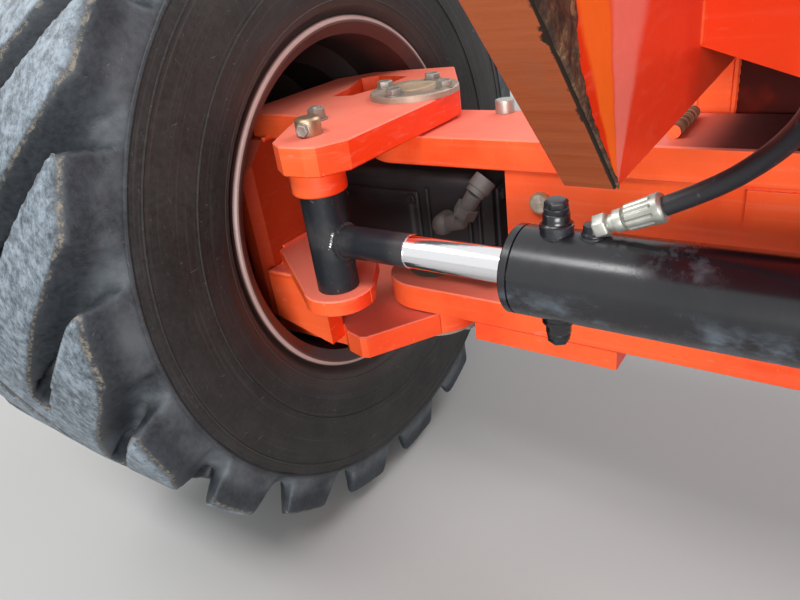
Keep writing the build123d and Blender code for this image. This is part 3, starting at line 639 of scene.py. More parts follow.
def web_plug_finish():
    """Pale zinc with a ring of rust round its edge."""
    finish, place = new_finish("web_plug_pale", (0.62, 0.58, 0.50), 0.5, 0.4)
    x, y, z = parts(place)
    ragged = noise(place, 130.0) * 0.005
    rusty = ramp(distance(abs(x) - PLUG_X, z - PLUG_Z) + ragged, *PLUG_EDGE)
    blotches = noise(place, 90.0)
    pale = mixed(ramp(blotches, 0.35, 0.65), (0.40, 0.35, 0.28), (0.72, 0.68, 0.60))
    return surface(finish, mixed(rusty * 0.85, pale, (0.34, 0.17, 0.07)), 0.5, blotches, 0.001, 0.5)


rod_chrome, stop_bar_rust, web_plug_pale = rod_finish(), stop_bar_finish(), web_plug_finish()
print("two-part finishes", rod_chrome.name, stop_bar_rust.name, web_plug_pale.name)

# %% [markdown]
# The cylinder's barrel is glossy black, with faint turned rings (a noise that is very fine along the
# axle), a grey-blue bloom in ragged patches, and a few chips down to pale primer. The torch's scar on
# the horn is dark steel, with rust on its high places.


# %% Barrel and scar finishes
def barrel_finish():
    """Glossy black with turned rings, a ragged bloom low on the front and pale specks."""
    finish, place = new_finish("barrel_black", (0.010, 0.011, 0.014), 0.24, shine=0.6)
    upward = parts(own(place.tree, "Normal"))[2]
    ragged = noise(stretched(place, (1, 1, 1.6)), 13.0, 8.0, 0.68)
    low = ramp(ragged, 0.42, 0.56) * ramp(upward, 0.25, -0.55)
    upper = ramp(upward, 0.45, 0.9) * ramp(noise(place, 19.0, 7.0, 0.7), 0.54, 0.66)
    bloom = larger(low, upper * 0.8)
    rings = noise(stretched(place, (150, 9, 9)), 2.0, 6.0, 0.7)
    soft = ramp(noise(place, 6.0, 3.0), 0.4, 0.7)
    body = mixed(soft * 0.6, (0.004, 0.005, 0.008), (0.018, 0.018, 0.021))
    skin = mixed(bloom * ramp(ragged, 0.40, 0.72), body, (0.165, 0.205, 0.245))
    skin = mixed(use_group(place, chips, Scale=52.0, Cut=0.735), skin, (0.55, 0.44, 0.27))
    rough = (bloom * 0.32 + rings * 0.16 + 0.15).clamped()
    return surface(finish, skin, rough, rings + bloom * 0.5, 0.0002, 0.25)


def scar_finish():
    """Dark torch-cut steel with rust on its high places."""
    finish, place = new_finish("scar_rust", (0.06, 0.035, 0.022), 0.75, 0.2)
    drag = noise(stretched(place, (1, 60, 30), (0.75, 0, 0)), 4.0, 5.0, 0.7)
    relief = noise(place, 60.0, 6.0, 0.75) * 0.6 + drag * 0.5
    skin = mixed(ramp(relief, 0.42, 0.60), RUST_DARK, (0.10, 0.055, 0.032))
    skin = mixed(ramp(relief, 0.56, 0.70), skin, (0.36, 0.185, 0.085))
    return surface(finish, skin, 0.75, relief, 0.002, 0.8)


barrel_black, scar_rust = barrel_finish(), scar_finish()
print("finishes", barrel_black.name, scar_rust.name)

# %% [markdown]
# The tops of the lugs are ground pale blue-grey, a ragged cream burr runs along their edges, dust lies
# in the grooves, and the sidewall is brown-grey. The finish works out each point's distance from the
# wheel's axis, and how far its normal points away from that axis: straight out on a lug's top, and
# half-way on its rounded edge, which is where the burr belongs. The pairs of lengths are distances from
# the axis, where an effect begins and where it is full.

# %% Tyre rubber
FLANK, RIM_SIDE = (0.366, 0.352), (0.264, 0.228)
LUG_TOP, BURR = (0.398, 0.409), (0.402, 0.410)
GROOVE_FLOOR, GROOVE_FOOT = (0.394, 0.376), (0.358, 0.366)


def tyre_rubber():
    """Rubber whose colour follows the distance from the axis and the slope of the surface."""
    finish, place = new_finish("tyre_grip", (0.045, 0.045, 0.048), 0.62, shine=0.35)
    x, y, z = parts(place)
    facing = parts(own(place.tree, "Normal"))
    sunk = z - AXIS_Z
    radius = distance(y, sunk)
    outward = (y * facing[1] + sunk * facing[2]) / radius
    cloudy = noise(place, 14.0, 6.0, 0.65)
    fine = noise(place, 170.0, 4.0, 0.7)
    along = sunk.combine("ARCTAN2", sunk, y) * 0.42
    unrolled = node(place.tree, "CombineXYZ", 0, {0: along, 1: x, 2: radius})

    speckled = ramp(cloudy * 0.55 + fine * 0.45, 0.30, 0.70)
    rubber = mixed(speckled, (0.010, 0.012, 0.015), (0.044, 0.052, 0.062))
    brown = mixed(speckled, (0.010, 0.010, 0.010), (0.030, 0.029, 0.028))
    flank = ramp(radius, *FLANK)
    skin = mixed(flank, rubber, brown)
    skin = mixed(ramp(radius, *RIM_SIDE) * 0.55, skin, (0.070, 0.048, 0.043))
    rings = noise(stretched(unrolled, (2, 2, 260)), 1.4, 3.0)
    skin = mixed(flank * ramp(rings, 0.52, 0.75) * 0.3, skin, (0.085, 0.078, 0.074))

    top = ramp(outward, 0.72, 0.93) * ramp(radius, *LUG_TOP)
    foil = noise(place, 105.0, 7.0, 0.72)
    scuffed = noise(stretched(unrolled, (60, 150, 60), (0, 0, 0.6)), 2.6, 8.0, 0.75)
    ground = scuffed * 0.35 + cloudy * 0.35 + foil * 0.75
    pale = mixed(ramp(ground, 0.56, 0.90), (0.032, 0.043, 0.055), (0.25, 0.30, 0.345))
    skin = mixed(top * 0.92, skin, pale)
    bend = ramp(outward, 0.52, 0.66) * ramp(outward, 0.86, 0.74)
    torn = ramp(noise(place, 150.0, 7.0, 0.8), 0.44, 0.60)
    burr = bend * torn * ramp(radius, *BURR)
    skin = mixed(burr * 0.72, skin, (0.24, 0.205, 0.155))
    floor_dust = ramp(radius, *GROOVE_FLOOR) * ramp(radius, *GROOVE_FOOT)
    skin = mixed(floor_dust * ramp(cloudy, 0.30, 0.70), skin, (0.095, 0.108, 0.118))
    marks = use_group(place, scratches, Scale=40.0, Cut=0.70)
    skin = mixed(marks * 0.16, skin, (0.22, 0.22, 0.23))
    pits = fine * 0.5 + cloudy + foil * top * 1.4 - marks * 0.5
    return surface(finish, skin, (fine * 0.28 + 0.40).clamped(), pits, 0.0016, 0.5)


tyre_grip = tyre_rubber()
print("rubber", tyre_grip.name)

# %% [markdown]
# Each CAD node now gets its finish. A table of name beginnings keeps this short: a node takes the
# first finish whose beginning fits its name, and orange where none fits.

# %% Finishes of the CAD nodes
node_finishes = [
    ("tyre", tyre_grip), ("rim", rim_paint), ("drive_motor", motor_black), ("motor_fitting", dusty_fitting),
    ("kingpins", worn_steel), ("rod_pin_head", brass_zinc), ("cylinder_rod", rod_chrome),
    ("cylinder_barrel", barrel_black), ("cylinder_gland", barrel_black), ("port_plugs", black_paint),
    ("base_pin", zinc), ("hose_elbow", zinc), ("hose_bulkhead", zinc), ("hose_left", hose_rubber),
    ("web_plugs", web_plug_pale), ("stop_bars", stop_bar_rust), ("pivot_pin", worn_steel),
    ("frame_side", horn_paint), ("beam_top", beam_orange), ("pivot_plate_rear", rear_shaded_orange),
    ("pivot_plate", shaded_orange), ("knuckle_back", wheel_side_shaded_orange),
]
for name, solid in cad.items():
    finish = next((f for start, f in node_finishes if name.startswith(start)), orange_paint)
    solid.data.materials.clear()
    solid.data.materials.append(finish)
print("finished nodes", len(cad))

# %% [markdown]
# ## Pieces
# The same few steps return for every piece: select it alone, apply a modifier, name it, give it its
# finish and its body. A piece on the left end is modelled once and mirrored. A mirror image is inside
# out, so its normals are worked out again.


# %% Helpers for pieces
def named(name):
    """Names the piece that an operator has just made."""
    piece = bpy.context.object
    piece.name = piece.data.name = name
    return piece


def joined(name, pieces):
    """Joins pieces into the first one and names it."""
    only(*pieces)
    if len(pieces) > 1:
        bpy.ops.object.join()
    return named(name)


def settled(piece):
    """Applies a piece's place, turn and size to its mesh."""
    only(piece)
    bpy.ops.object.transform_apply(location=True, rotation=True, scale=True)
    return piece


def modify(piece, kind, **settings):
    """Adds a modifier with its settings and applies it."""
    only(piece)
    modifier = piece.modifiers.new(kind.lower(), kind)
    for label, value in settings.items():
        setattr(modifier, label, value)
    bpy.ops.object.modifier_apply(modifier=modifier.name)


def rounded(piece, width, segments=2, angle=30):
    """Rounds the edges that are sharper than an angle in degrees."""
    modify(piece, "BEVEL", width=width, segments=segments, limit_method="ANGLE", angle_limit=radians(angle))
    return piece


def in_edit(piece, *steps, test=None):
    """Runs steps in edit mode on the faces whose middle and normal pass the test, or on all."""
    only(piece)
    bpy.ops.object.mode_set(mode="EDIT")
    bpy.ops.mesh.select_mode(type="FACE")
    bpy.ops.mesh.select_all(action="DESELECT" if test else "SELECT")
    if test:
        mesh = bmesh.from_edit_mesh(piece.data)
        for face in mesh.faces:
            face.select_set(bool(test(face.calc_center_median(), face.normal)))
        bmesh.update_edit_mesh(piece.data)
    for operator, settings in steps:
        operator(**settings)
    bpy.ops.object.mode_set(mode="OBJECT")
    return piece


def inset(piece, test, *steps):
    """Insets the picked faces again and again, each step a thickness and a depth."""
    insets = [(bpy.ops.mesh.inset, {"thickness": thickness, "depth": depth}) for thickness, depth in steps]
    return in_edit(piece, *insets, test=test)


def upper(middle, normal):
    """Passes the faces that look up."""
    return normal.z > 0.9


def dressed(piece, finish, body, smooth=32):
    """Puts the origin at the world's, smooths, and gives the piece its finish and body."""
    settled(piece)
    bpy.ops.object.shade_smooth_by_angle(angle=radians(smooth))
    piece.data.materials.clear()
    piece.data.materials.append(finish)
    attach(piece, body)
    return piece


def duplicate(piece):
    """A free copy of a piece, with a mesh of its own."""
    twin = piece.copy()
    twin.data = piece.data.copy()
    scene.collection.objects.link(twin)
    twin.parent = None
    return twin


def mirrored(piece, body):
    """A copy of a left piece on the right end, turned the right way out."""
    twin = duplicate(piece)
    twin.name = twin.data.name = piece.name.replace("_left", "_right")
    twin.matrix_world = Matrix.Scale(-1, 4, (1, 0, 0))
    in_edit(settled(twin), (bpy.ops.mesh.remove_doubles, {"threshold": 0.000001}),
            (bpy.ops.mesh.normals_make_consistent, {"inside": False}))
    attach(twin, body)
    return twin


def both_ends(piece, finish, body, smooth=32):
    """Dresses a left piece and mirrors it; the root body carries both, any other body has a twin."""
    left, right = (body, body) if body == "root" else (body + "_left", body + "_right")
    dressed(piece, finish, left, smooth)
    return piece, mirrored(piece, right)


def aim(place, direction):
    """The matrix that takes a piece up from the world's origin to a place and a direction."""
    return Matrix.Translation(place) @ Vector(direction).to_track_quat("Z", "Y").to_matrix().to_4x4()


def laid(piece, place, direction, width=None, angle=25):
    """Rounds a piece that was modelled up from the origin, and puts it in its place."""
    if width:
        rounded(piece, width, 2, angle)
    piece.matrix_world = aim(place, direction)
    return piece


def copies(master, name, spots):
    """One object of copies of a master: each spot has a place, a direction, a size and a turn."""
    made = []
    for place, direction, size, turn in spots:
        twin = duplicate(master)
        twin.matrix_world = aim(place, direction) @ Matrix.Rotation(turn, 4, "Z") @ Matrix.Scale(size, 4)
        made.append(twin)
    return joined(name, made)


def cylinder(vertices, radius, depth, place):
    """An upright cylinder round a place."""
    bpy.ops.object.select_all(action="DESELECT")
    bpy.ops.mesh.primitive_cylinder_add(vertices=vertices, radius=radius, depth=depth, location=place)
    return bpy.context.object


def block(place, size):
    """A box round a place."""
    bpy.ops.object.select_all(action="DESELECT")
    bpy.ops.mesh.primitive_cube_add(size=1, location=place, scale=size)
    return settled(bpy.context.object)


def circle(middle, radius, first, second, count, start=0.0):
    """Points round a circle in the plane of two directions."""
    angles = [start + 2 * pi * step / count for step in range(count)]
    return [middle + first * (radius * cos(angle)) + second * (radius * sin(angle)) for angle in angles]


print("piece helpers ready")

# %% [markdown]
# The CAD tyre has the right lugs but knife-sharp edges, and real rubber is rounded where it wears and
# has soft fillets at the lugs' feet. A copy of its mesh is merged into one skin, rebuilt from 5 mm
# voxels and smoothed a little, which rounds every edge and fills every foot at once. Decimate then
# takes out the faces that the flat places don't need.

# %% Tyres
VOXEL = 0.005
tyre_left = duplicate(cad["tyre_left"])
tyre_left.matrix_world = Matrix.Identity(4)
tyre_left.name = tyre_left.data.name = "lugged_tyre_left"
in_edit(tyre_left, (bpy.ops.mesh.remove_doubles, {"threshold": 0.00005}))
modify(tyre_left, "REMESH", mode="VOXEL", voxel_size=VOXEL)
modify(tyre_left, "SMOOTH", factor=0.5, iterations=4)
modify(tyre_left, "DECIMATE", ratio=0.42)
tyre_left, tyre_right = both_ends(tyre_left, tyre_grip, "wheel", smooth=60)
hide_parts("tyre_left")
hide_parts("tyre_right")
print("tyre faces", len(tyre_left.data.polygons))

# %% [markdown]
# A thin moulded ring runs round each sidewall at the foot of the lugs, and three finer ones nearer the
# rim. A torus turned onto the wheel's axis makes each ring, sunk half into the rubber.

# %% Sidewall rings
RING_SPOTS = [(0.3592, 0.1840, 0.0026), (0.3446, 0.1866, 0.0013), (0.2853, 0.1858, 0.0012),
              (0.2400, 0.1712, 0.0016)]
rings = []
for ring_radius, offset, thickness in RING_SPOTS:
    for side in (-1, 1):
        bpy.ops.mesh.primitive_torus_add(
            major_radius=ring_radius, minor_radius=thickness, major_segments=144, minor_segments=8,
            location=(side * offset - WHEEL_X, 0, AXIS_Z), rotation=(0, pi / 2, 0))
        rings.append(bpy.context.object)
both_ends(joined("sidewall_rings_left", rings), tyre_grip, "wheel")
print("rings", len(rings))

# %% [markdown]
# One bolt is modelled up from the origin, one unit across its flats: a six-sided cylinder with its top
# edge cut back, a shallow dish in the head, and a washer under it. Every bolt is then a copy of that
# mesh, scaled to its real size. A nut is the same with a stud through it.

# %% Bolt and nut masters
FLAT_TO_CORNER = 1 / (2 * cos(pi / 6))


def dished_head(name, height, edge, dish, washer):
    """A hexagon head one unit across its flats, on a washer."""
    head = inset(cylinder(6, FLAT_TO_CORNER, height, (0, 0, washer + height / 2)), upper,
                 (edge, 0.05), (0.08, 0), (0.02, -dish))
    settled(rounded(head, 0.03))
    disc = settled(rounded(cylinder(28, 0.66, washer, (0, 0, washer / 2)), 0.025))
    return joined(name, [head, disc])


bolt_master = dished_head("bolt_master", 0.36, 0.06, 0.03, 0.07)
stud = settled(rounded(cylinder(20, 0.30, 0.5, (0, 0, 0.62)), 0.05))
nut_master = joined("nut_master", [dished_head("nut_master", 0.62, 0.07, 0.02, 0.10), stud])


def bolts(name, spots, body="knuckle", master=bolt_master, finish=bolt_steel):
    """Bolts or nuts at their spots on the left end, and the same on the right end."""
    return both_ends(copies(master, name, spots), finish, body)


print("masters", len(bolt_master.data.polygons), len(nut_master.data.polygons))

# %% [markdown]
# The kingpin's cap carries four bolts and a raised tan centre. The same cap closes the lower pin. No
# two bolts are turned alike.

# %% Kingpin caps
CAP_RING, CAP_BOLT = 0.040, 0.0160
CENTRE_RADIUS, CENTRE_THICK, CENTRE_PROUD = 0.024, 0.003, 0.0007
bolt_spots = []
for number, point in enumerate(circle(at(0, 0, 0), CAP_RING, ALONG_X, ALONG_Y, 4)):
    bolt_spots.append((Vector((point.x, point.y, CAP_TOP)), UP, CAP_BOLT, 0.3 + 0.4 * number))
    bolt_spots.append((Vector((point.x, point.y, CAP_LOW)), -UP, CAP_BOLT, 0.2 + 0.5 * number))
bolts("cap_bolts_left", bolt_spots)

centres = []
for height in (CAP_TOP + CENTRE_PROUD, CAP_LOW - CENTRE_PROUD):
    centre = inset(cylinder(48, CENTRE_RADIUS, CENTRE_THICK, (-KINGPIN_X, 0, height)),
                   lambda middle, normal: abs(normal.z) > 0.9, (0.006, 0), (0.001, -0.0006))
    centres.append(rounded(centre, 0.0006))
both_ends(joined("cap_centre_left", centres), pale_tan, "knuckle")
print("cap bolts", len(bolt_spots))

# %% [markdown]
# The rod's pin has a brass-coloured round head: its top face is inset, and the rim round that is
# lowered for a step. A small bolt through its side locks it, and a taller one stands behind it.

# %% Rod pin
PIN_RADIUS, PIN_HEAD_H, PIN_STEP = 0.0125, 0.0170, 0.0024
LOCK_SIZE, LOCK_HEIGHT, LOCK_REACH, LOCK_SPAN = 0.0108, 0.0072, 0.0115, 0.0232
STAND_SIZE = 0.0165
pin_top = at(PIN_U, CYLINDER_Y, 0)
pin_top.z = ARM_TOP
pin_head = cylinder(48, PIN_RADIUS, PIN_HEAD_H, pin_top + UP * (PIN_HEAD_H / 2))
named("pin_head_left")
inset(pin_head, upper, (0.0022, 0))
for vertex in pin_head.data.vertices:
    if vertex.co.z > 0 and hypot(vertex.co.x, vertex.co.y) > 0.96 * PIN_RADIUS:
        vertex.co.z -= PIN_STEP
rounded(pin_head, 0.0004, 2, 20)
pin_head, right_head = both_ends(pin_head, brass_zinc, "knuckle")
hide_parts("rod_pin_head_left")
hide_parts("rod_pin_head_right")

cross = Vector((0.28, -0.96, 0)).normalized()
cross_spot = pin_top + UP * LOCK_HEIGHT + cross * LOCK_REACH
lock_spots = [(cross_spot, cross, LOCK_SIZE, 0.3), (cross_spot - cross * LOCK_SPAN, -cross, LOCK_SIZE, 0.1)]
bolts("lock_bolts_left", lock_spots)
stand_spot = at(-0.045, -0.118, 0)
stand_spot.z = ARM_TOP
bolts("arm_bolt_left", [(stand_spot, UP, STAND_SIZE, 0.5)], master=nut_master)
print("pin head top", round(ARM_TOP + PIN_HEAD_H, 4))

# %% [markdown]
# A weld bead is a row of overlapping ripples, so each one is a curve whose points swell and shrink
# along the joint. A seeded generator keeps the small unevenness the same on each run.


# %% Weld beads
def weld(name, runs, width, ripple=0.0045):
    """Beads along runs of points, each point a place in the frame."""
    dice = Random(name)
    line, seam = round_line(name, width / 2, 1)
    for points in runs:
        trail = []
        for start, end in zip(points, points[1:]):
            steps = max(2, round((end - start).length / (ripple / 3)))
            trail += [start.lerp(end, step / steps) for step in range(steps)]
        trail.append(points[-1])
        bead = line.splines.new("POLY")
        bead.points.add(len(trail) - 1)
        for number, (point, spot) in enumerate(zip(bead.points, trail)):
            point.co = (*spot, 1)
            point.radius = (1.0, 0.94, 0.80)[number % 3] * dice.uniform(0.93, 1.05)
        bead.points[0].radius = bead.points[-1].radius = 0.4
    return as_mesh(seam)


def ring_run(middle, radius, first, second, count=40):
    """A closed run of points round a circle."""
    points = circle(middle, radius, first, second, count)
    return points + points[:1]


knuckle_seams = [
    ((-0.150, -0.104, 0.1057), (-0.150, 0.104, 0.1057)),
    ((-0.178, -0.088, 0.1057), (-0.178, 0.080, 0.1057)),
    ((-0.150, -0.114, -0.1186), (-0.150, 0.104, -0.1186)),
    ((-0.150, -0.118, -0.110), (-0.150, -0.118, -0.048)),
    ((-0.150, -0.110, -0.0285), (-0.150, -0.062, -0.0285)),
    ((-0.148, -0.118, -0.0465), (-0.068, -0.118, -0.0465)),
    ((-0.146, -0.142, -0.0465), (-0.066, -0.142, -0.0465)),
]
knuckle_runs = [[at(*start), at(*end)] for start, end in knuckle_seams]
knuckle_runs.append(ring_run(at(PIN_U, CYLINDER_Y, 0.1053), 0.0283, ALONG_X, ALONG_Y))
knuckle_welds = weld("knuckle_welds_left", knuckle_runs, 0.007)
both_ends(knuckle_welds, orange_paint, "knuckle", 50)

WEB_END = KINGPIN_X - 0.134
beam_runs = []
for way in (-1, 1):
    for height in (AXIS_Z + 0.0711, AXIS_Z - 0.0824):
        beam_runs.append([Vector((end, way * 0.0532, height)) for end in (-WEB_END, WEB_END)])
    beam_runs.append(ring_run(Vector((0, way * 0.0575, PIVOT_Z)), 0.050, ALONG_X, UP))
beam_welds = weld("beam_welds", beam_runs, 0.0052, 0.006)
dressed(beam_welds, orange_paint, "root", 50)

frame_seams = [((FRAME_SIDE_X, y, low), (FRAME_SIDE_X, y, -0.021))
               for y, low in ((-0.0915, -0.110), (-0.0655, -0.110), (0.0655, -0.298), (0.0915, -0.298))]
frame_seams += [((x, -0.395, -0.0203), (x, 0.128, -0.0203)) for x in (FRAME_SIDE_X, 0.421)]
frame_runs = [[Vector((way * x, y, z)) for x, y, z in seam] for way in (-1, 1) for seam in frame_seams]
frame_welds = weld("frame_welds", frame_runs, 0.0065, 0.008)
dressed(frame_welds, orange_paint, "root", 50)
print("weld faces", [len(piece.data.polygons) for piece in (knuckle_welds, beam_welds, frame_welds)])

# %% [markdown]
# On the rod, a weld runs round the stub where it meets the eye, and a wedge of it has stayed bright.

# %% Welds of the rod
stub_runs = [ring_run(at(PIN_U + 0.0212, CYLINDER_Y, ROD_LIFT), 0.0172, ALONG_Y, UP, 28)]
stub_weld = weld("rod_weld_left", stub_runs, 0.0062, 0.004)
both_ends(stub_weld, rod_chrome, "rod", 50)
bright_start = at(PIN_U + 0.0195, CYLINDER_Y - 0.0115, ROD_LIFT + 0.0135)
bright_run = [bright_start + Vector((-0.004, -0.0016, -0.008)) * step for step in range(4)]
bright_weld = weld("bright_weld_left", [bright_run], 0.0085, 0.003)
both_ends(bright_weld, weld_steel, "rod", 50)
print("rod welds", len(stub_weld.data.polygons) + len(bright_weld.data.polygons))

# %% [markdown]
# The hose is held by a crimped ferrule: a sleeve with long flutes, made by pulling in some of its
# columns of points. Then come a stepped neck, whose steps are extruded from its end, and a hexagon nut.

# %% Hose fitting
ELBOW_BEND = at(0.268, CYLINDER_Y, 0.0706)
HOSE_START = at(*hose_route[0])
fitting_way = (HOSE_START - ELBOW_BEND).normalized()


def tapered(name, profile, vertices=48):
    """A round piece up from the origin: the top face is extruded to each next height and radius."""
    bpy.ops.object.select_all(action="DESELECT")
    (low, first), (reached, radius) = profile[:2]
    bpy.ops.mesh.primitive_cone_add(vertices=vertices, radius1=first, radius2=radius,
                                    depth=reached - low, location=(0, 0, (low + reached) / 2))
    piece = settled(named(name))
    for height, next_radius in profile[2:]:
        grow = next_radius / radius
        in_edit(piece, (bpy.ops.mesh.extrude_region_move,
                        {"TRANSFORM_OT_translate": {"value": (0, 0, height - reached)}}),
                (bpy.ops.transform.resize, {"value": (grow, grow, 1)}),
                test=lambda middle, normal: normal.z > 0.9 and middle.z > reached - 1e-5)
        reached, radius = height, next_radius
    return piece


def stepped(name, steps, vertices=48):
    """A tapered piece whose steps are straight: each is a length and a radius."""
    profile, reached = [], 0.0
    for length, radius in steps:
        profile += [(reached, radius), (reached + length, radius)]
        reached += length
    return tapered(name, profile, vertices)


FLUTES, FLUTE_DEPTH = 10, 0.88
FLUTE_FROM, FLUTE_TO = 0.0040, 0.0225
SLEEVE_BACK, NECK_BACK = 0.0316, 0.0446
sleeve = tapered("hose_ferrule", [(0, 0.0070), (0.0016, 0.0088), (FLUTE_FROM, 0.0106), (FLUTE_TO, 0.0113),
                                  (0.0245, 0.0117), (0.0290, 0.0117), (0.0312, 0.0103)], 4 * FLUTES)
for vertex in sleeve.data.vertices:
    fluted = FLUTE_FROM - 0.0003 < vertex.co.z < FLUTE_TO + 0.0003
    if fluted and cos(atan2(vertex.co.y, vertex.co.x) * FLUTES) > 0.5:
        vertex.co.x *= FLUTE_DEPTH
        vertex.co.y *= FLUTE_DEPTH
laid(sleeve, HOSE_START - fitting_way * SLEEVE_BACK, fitting_way, 0.0003)
neck = stepped("hose_neck", [(0.0030, 0.0056), (0.0022, 0.0068), (0.0016, 0.0056), (0.0028, 0.0074),
                             (0.0040, 0.0066)])
laid(neck, HOSE_START - fitting_way * NECK_BACK, fitting_way, 0.0004)
nut = tapered("hose_nut", [(0, 0.0082), (0.0012, 0.0100), (0.0100, 0.0100), (0.0114, 0.0084)], 6)
laid(nut, ELBOW_BEND + fitting_way * 0.001, fitting_way, 0.0005)
for piece in (sleeve, neck, nut):
    dressed(piece, zinc, "barrel_left")
elbow_foot = tapered("hose_elbow_foot", [(0, 0.0100), (0.0026, 0.0098), (0.0046, 0.0084), (0.0100, 0.0080)])
laid(elbow_foot, at(0.268, CYLINDER_Y, 0.0640), UP, 0.0006)
dressed(elbow_foot, black_paint, "barrel_left")
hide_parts("hose_elbow_left")
print("fitting length", round((HOSE_START - ELBOW_BEND).length, 4))

# %% [markdown]
# The cylinder's two ports are closed by hexagon plugs on a round collar, and each stub flares out in a
# smooth fillet to its foot. The plugs take the place of the plain hexagons from CAD.

# %% Port plugs and flares
PORT_U = PIN_U + 0.2482
PLUG_SEAT, STUB_FOOT = 0.0550, 0.0415
FLARE = [(0, 0.0139), (0.0034, 0.0138), (0.0039, 0.0127), (0.0047, 0.0117),
         (0.0060, 0.0111), (0.0080, 0.0109), (0.0130, 0.0109), (0.0136, 0.0103)]
plug_parts, flare_parts = [], []
for way in (-1, 1):
    plug_seat = at(PORT_U, CYLINDER_Y, ROD_LIFT + way * PLUG_SEAT)
    collar = stepped("plug_collar", [(0.0030, 0.0102), (0.0012, 0.0090)], 40)
    plug_parts.append(laid(collar, plug_seat, UP * way, 0.0004))
    hexagon = tapered("plug_hexagon", [(0.0036, 0.0098), (0.0092, 0.0098), (0.0110, 0.0080)], 6)
    plug_parts.append(laid(hexagon, plug_seat, UP * way, 0.0005, 20))
    flare_seat = at(PORT_U, CYLINDER_Y, ROD_LIFT + way * STUB_FOOT)
    flare_parts.append(laid(tapered("port_flare", FLARE), flare_seat, UP * way))
plugs = joined("hexagon_plugs_left", plug_parts)
plugs, plugs_right = both_ends(plugs, black_paint, "barrel")
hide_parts("port_plugs_left")
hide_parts("port_plugs_right")
both_ends(joined("port_flares_left", flare_parts), barrel_black, "barrel", 48)
print("plugs and flares", len(plugs.data.polygons))

# %% [markdown]
# Wheel nuts, the hub cap's bolts and a valve stem are on the outboard face, which the photograph
# doesn't show, so they follow what such wheels have.

# %% Wheel nuts, hub bolts and valve
DISC_FACE, CAP_FACE = -KINGPIN_X - 0.332, -KINGPIN_X - 0.380
NUT_COUNT, NUT_RING, NUT_SIZE = 9, 0.108, 0.024
HUB_COUNT, HUB_RING, HUB_SIZE, HUB_PLUG_SIZE = 6, 0.056, 0.013, 0.022
nut_ring = circle(Vector((DISC_FACE, 0, AXIS_Z)), NUT_RING, ALONG_Y, UP, NUT_COUNT)
wheel_spots = [(point, -ALONG_X, NUT_SIZE, 2 * pi * number / NUT_COUNT)
               for number, point in enumerate(nut_ring)]
bolts("wheel_nuts_left", wheel_spots, body="wheel", master=nut_master)
cap_middle = Vector((CAP_FACE, 0, AXIS_Z))
hub_ring = circle(cap_middle, HUB_RING, ALONG_Y, UP, HUB_COUNT, pi / HUB_COUNT)
hub_spots = [(point, -ALONG_X, HUB_SIZE, 2 * pi * (number + 0.5) / HUB_COUNT)
             for number, point in enumerate(hub_ring)]
hub_spots.append((cap_middle, -ALONG_X, HUB_PLUG_SIZE, 0))
bolts("hub_bolts_left", hub_spots, body="wheel")
valve = stepped("valve_left", [(0.006, 0.0060), (0.022, 0.0042), (0.010, 0.0052)], 20)
laid(valve, Vector((DISC_FACE + 0.004, 0, AXIS_Z + 0.142)), (-0.94, 0, 0.34), 0.0006)
both_ends(valve, zinc, "wheel")
print("wheel nuts", NUT_COUNT, "hub bolts", len(hub_spots))

# %% [markdown]
# The drive motor has a flat cover bolted on its front (a cube that is inset and raised), ribs and a
# lid. Its hose fitting ends in a crimped sleeve that leans in under the beam's flange.

# %% Drive motor's cover, ribs, lid and sleeve
MOTOR_FACE_Y = -0.050
COVER_BOLT = 0.010
motor_cover = inset(block(at(-0.030, MOTOR_FACE_Y - 0.001, -0.004), (0.110, 0.008, 0.086)),
                    lambda middle, normal: normal.y < -0.9, (0.007, 0), (0.003, 0.003))
motor_parts = [rounded(motor_cover, 0.0022, 3)]
for rib_u in (0.036, 0.088, 0.100):
    rib = block(at(rib_u, MOTOR_FACE_Y - 0.0012, -0.004), (0.005, 0.006, 0.096))
    motor_parts.append(rounded(rib, 0.002))
motor_parts.append(rounded(block(at(0.1135, 0, 0), (0.006, 0.072, 0.088)), 0.0026, 3))
both_ends(joined("motor_cover_left", motor_parts), motor_black, "knuckle")
cover_spots = [(at(side_u, MOTOR_FACE_Y - 0.0045, height), -ALONG_Y, COVER_BOLT, 0.4)
               for side_u in (-0.077, 0.017) for height in (-0.039, 0.031)]
cover_spots += [(at(0.1162, side_y, height), ALONG_X, COVER_BOLT, 0.2)
                for side_y in (-0.028, 0.028) for height in (-0.036, 0.036)]
bolts("motor_bolts_left", cover_spots, finish=motor_black)
sleeve_way = Vector((0.0100, 0.0125, 0.0150)).normalized()
motor_sleeve = stepped("motor_sleeve_left", [(0.0040, 0.0105), (0.0020, 0.0085), (0.0120, 0.0100),
                                             (0.0022, 0.0080)], 32)
laid(motor_sleeve, at(0.104, -0.063, 0.048) - sleeve_way * 0.002, sleeve_way, 0.0006)
both_ends(motor_sleeve, dusty_fitting, "knuckle")
print("motor bolts", len(cover_spots))

# %% [markdown]
# The torch has left a gouged band along the horn's inner corner, wide at the top and a thread at the
# tip: a fine grid on the side face, pushed in and out by noise, and given a thickness.

# %% Torch scar
SCAR_ROWS, SCAR_COLUMNS = 90, 22
SCAR_LOW, SCAR_HIGH = 0.1440, 0.2790
scar_edges = [(0.1435, 0.0), (0.155, 0.0025), (0.175, 0.003), (0.190, 0.0045), (0.205, 0.009),
              (0.220, 0.0145), (0.235, 0.024), (0.250, 0.038), (0.265, 0.046), (0.2795, 0.050)]


def scar_width(height):
    """The band's width at a height above the wheel axis, from its few measured places."""
    for (low, narrow), (high, wide) in zip(scar_edges, scar_edges[1:]):
        if height <= high:
            return narrow + (wide - narrow) * (height - low) / (high - low)
    return scar_edges[-1][1]


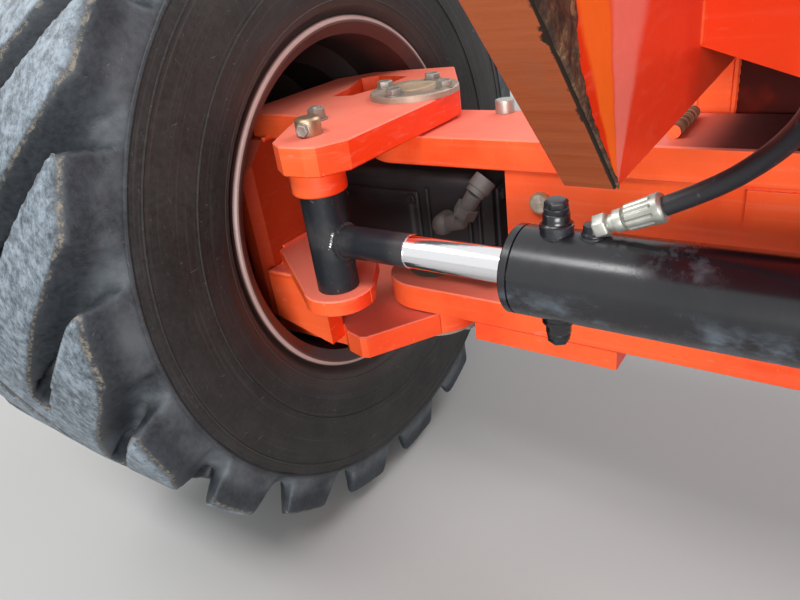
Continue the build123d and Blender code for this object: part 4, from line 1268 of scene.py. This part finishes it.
bpy.ops.mesh.primitive_grid_add(x_subdivisions=SCAR_COLUMNS, y_subdivisions=SCAR_ROWS, size=1)
scar = named("torch_scar_left")
for vertex in scar.data.vertices:
    across, share = vertex.co.x + 0.5, vertex.co.y + 0.5
    height = SCAR_LOW + (SCAR_HIGH - SCAR_LOW) * share
    corner_y = TIP_Y - HORN_LEAN * (height - 0.143)
    ragged = 0.0035 * (place_noise.noise(Vector((share * 17, 0, 3))) if across > 0.9 else 0)
    width = max(0.0012, scar_width(height) + ragged)
    spot = Vector((-FRAME_SIDE_X, corner_y + 0.0002 + width * across, height + AXIS_Z))
    rough_height = place_noise.fractal(spot * 150, 0.9, 2.1, 4)
    edge_fade = min(1.0, 8 * across, 8 * (1 - across))
    spot.x += 0.0003 + edge_fade * max(0.0, 0.0012 + 0.0012 * rough_height)
    vertex.co = spot
in_edit(scar, (bpy.ops.mesh.normals_make_consistent, {"inside": False}))
if scar.data.polygons[0].normal.x < 0:
    in_edit(scar, (bpy.ops.mesh.flip_normals, {}))
modify(scar, "SOLIDIFY", thickness=0.0008, offset=-1.0)
both_ends(scar, scar_rust, "root", 60)
print("scar faces", len(scar.data.polygons))

# %% [markdown]
# Small things finish the part: grease nipples on the cylinders' base pins, bolts round the axle's pivot
# pin, a fitting on the beam beside the horn, and a pad on the leg behind it.

# %% Nipples, pivot bolts, beam fitting and leg pad
BASE_X = 0.133
BASE_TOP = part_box("base_pin_left")[1].z
keeper = stepped("pin_keeper_left", [(0.0030, 0.0150), (0.0016, 0.0120), (0.0060, 0.0045),
                                     (0.0040, 0.0030)], 32)
laid(keeper, Vector((-BASE_X, CYLINDER_Y, BASE_TOP - 0.0004)), UP, 0.0005)
both_ends(keeper, zinc, "root")
pivot_spots = []
for way in (-1, 1):
    pivot_ring = circle(Vector((0, way * 0.091, PIVOT_Z)), 0.052, ALONG_X, UP, 4, pi / 4)
    pivot_spots += [(point, ALONG_Y * way, 0.016, 0.3 * number) for number, point in enumerate(pivot_ring)]
dressed(copies(bolt_master, "pivot_bolts", pivot_spots), bolt_steel, "root")
beam_fitting = stepped("beam_fitting_left", [(0.0020, 0.0106), (0.0100, 0.0094), (0.0034, 0.0076)], 24)
laid(beam_fitting, Vector((0.088 - KINGPIN_X, 0.0460, BEAM_TOP - 0.0003)), UP, 0.0008)
both_ends(beam_fitting, zinc, "root")
for master in (bolt_master, nut_master):
    bpy.data.objects.remove(master)
leg_pad = block((-0.4265, 0.097, AXIS_Z + 0.070), (0.012, 0.060, 0.138))
named("leg_pad_left")
both_ends(rounded(leg_pad, 0.0030, 3), orange_paint, "root")
print("pivot bolts", len(pivot_spots))

# %% [markdown]
# Last, the view layer is brought up to date.


bpy.context.view_layer.update()
print("boxes written for", len(cad), "nodes")
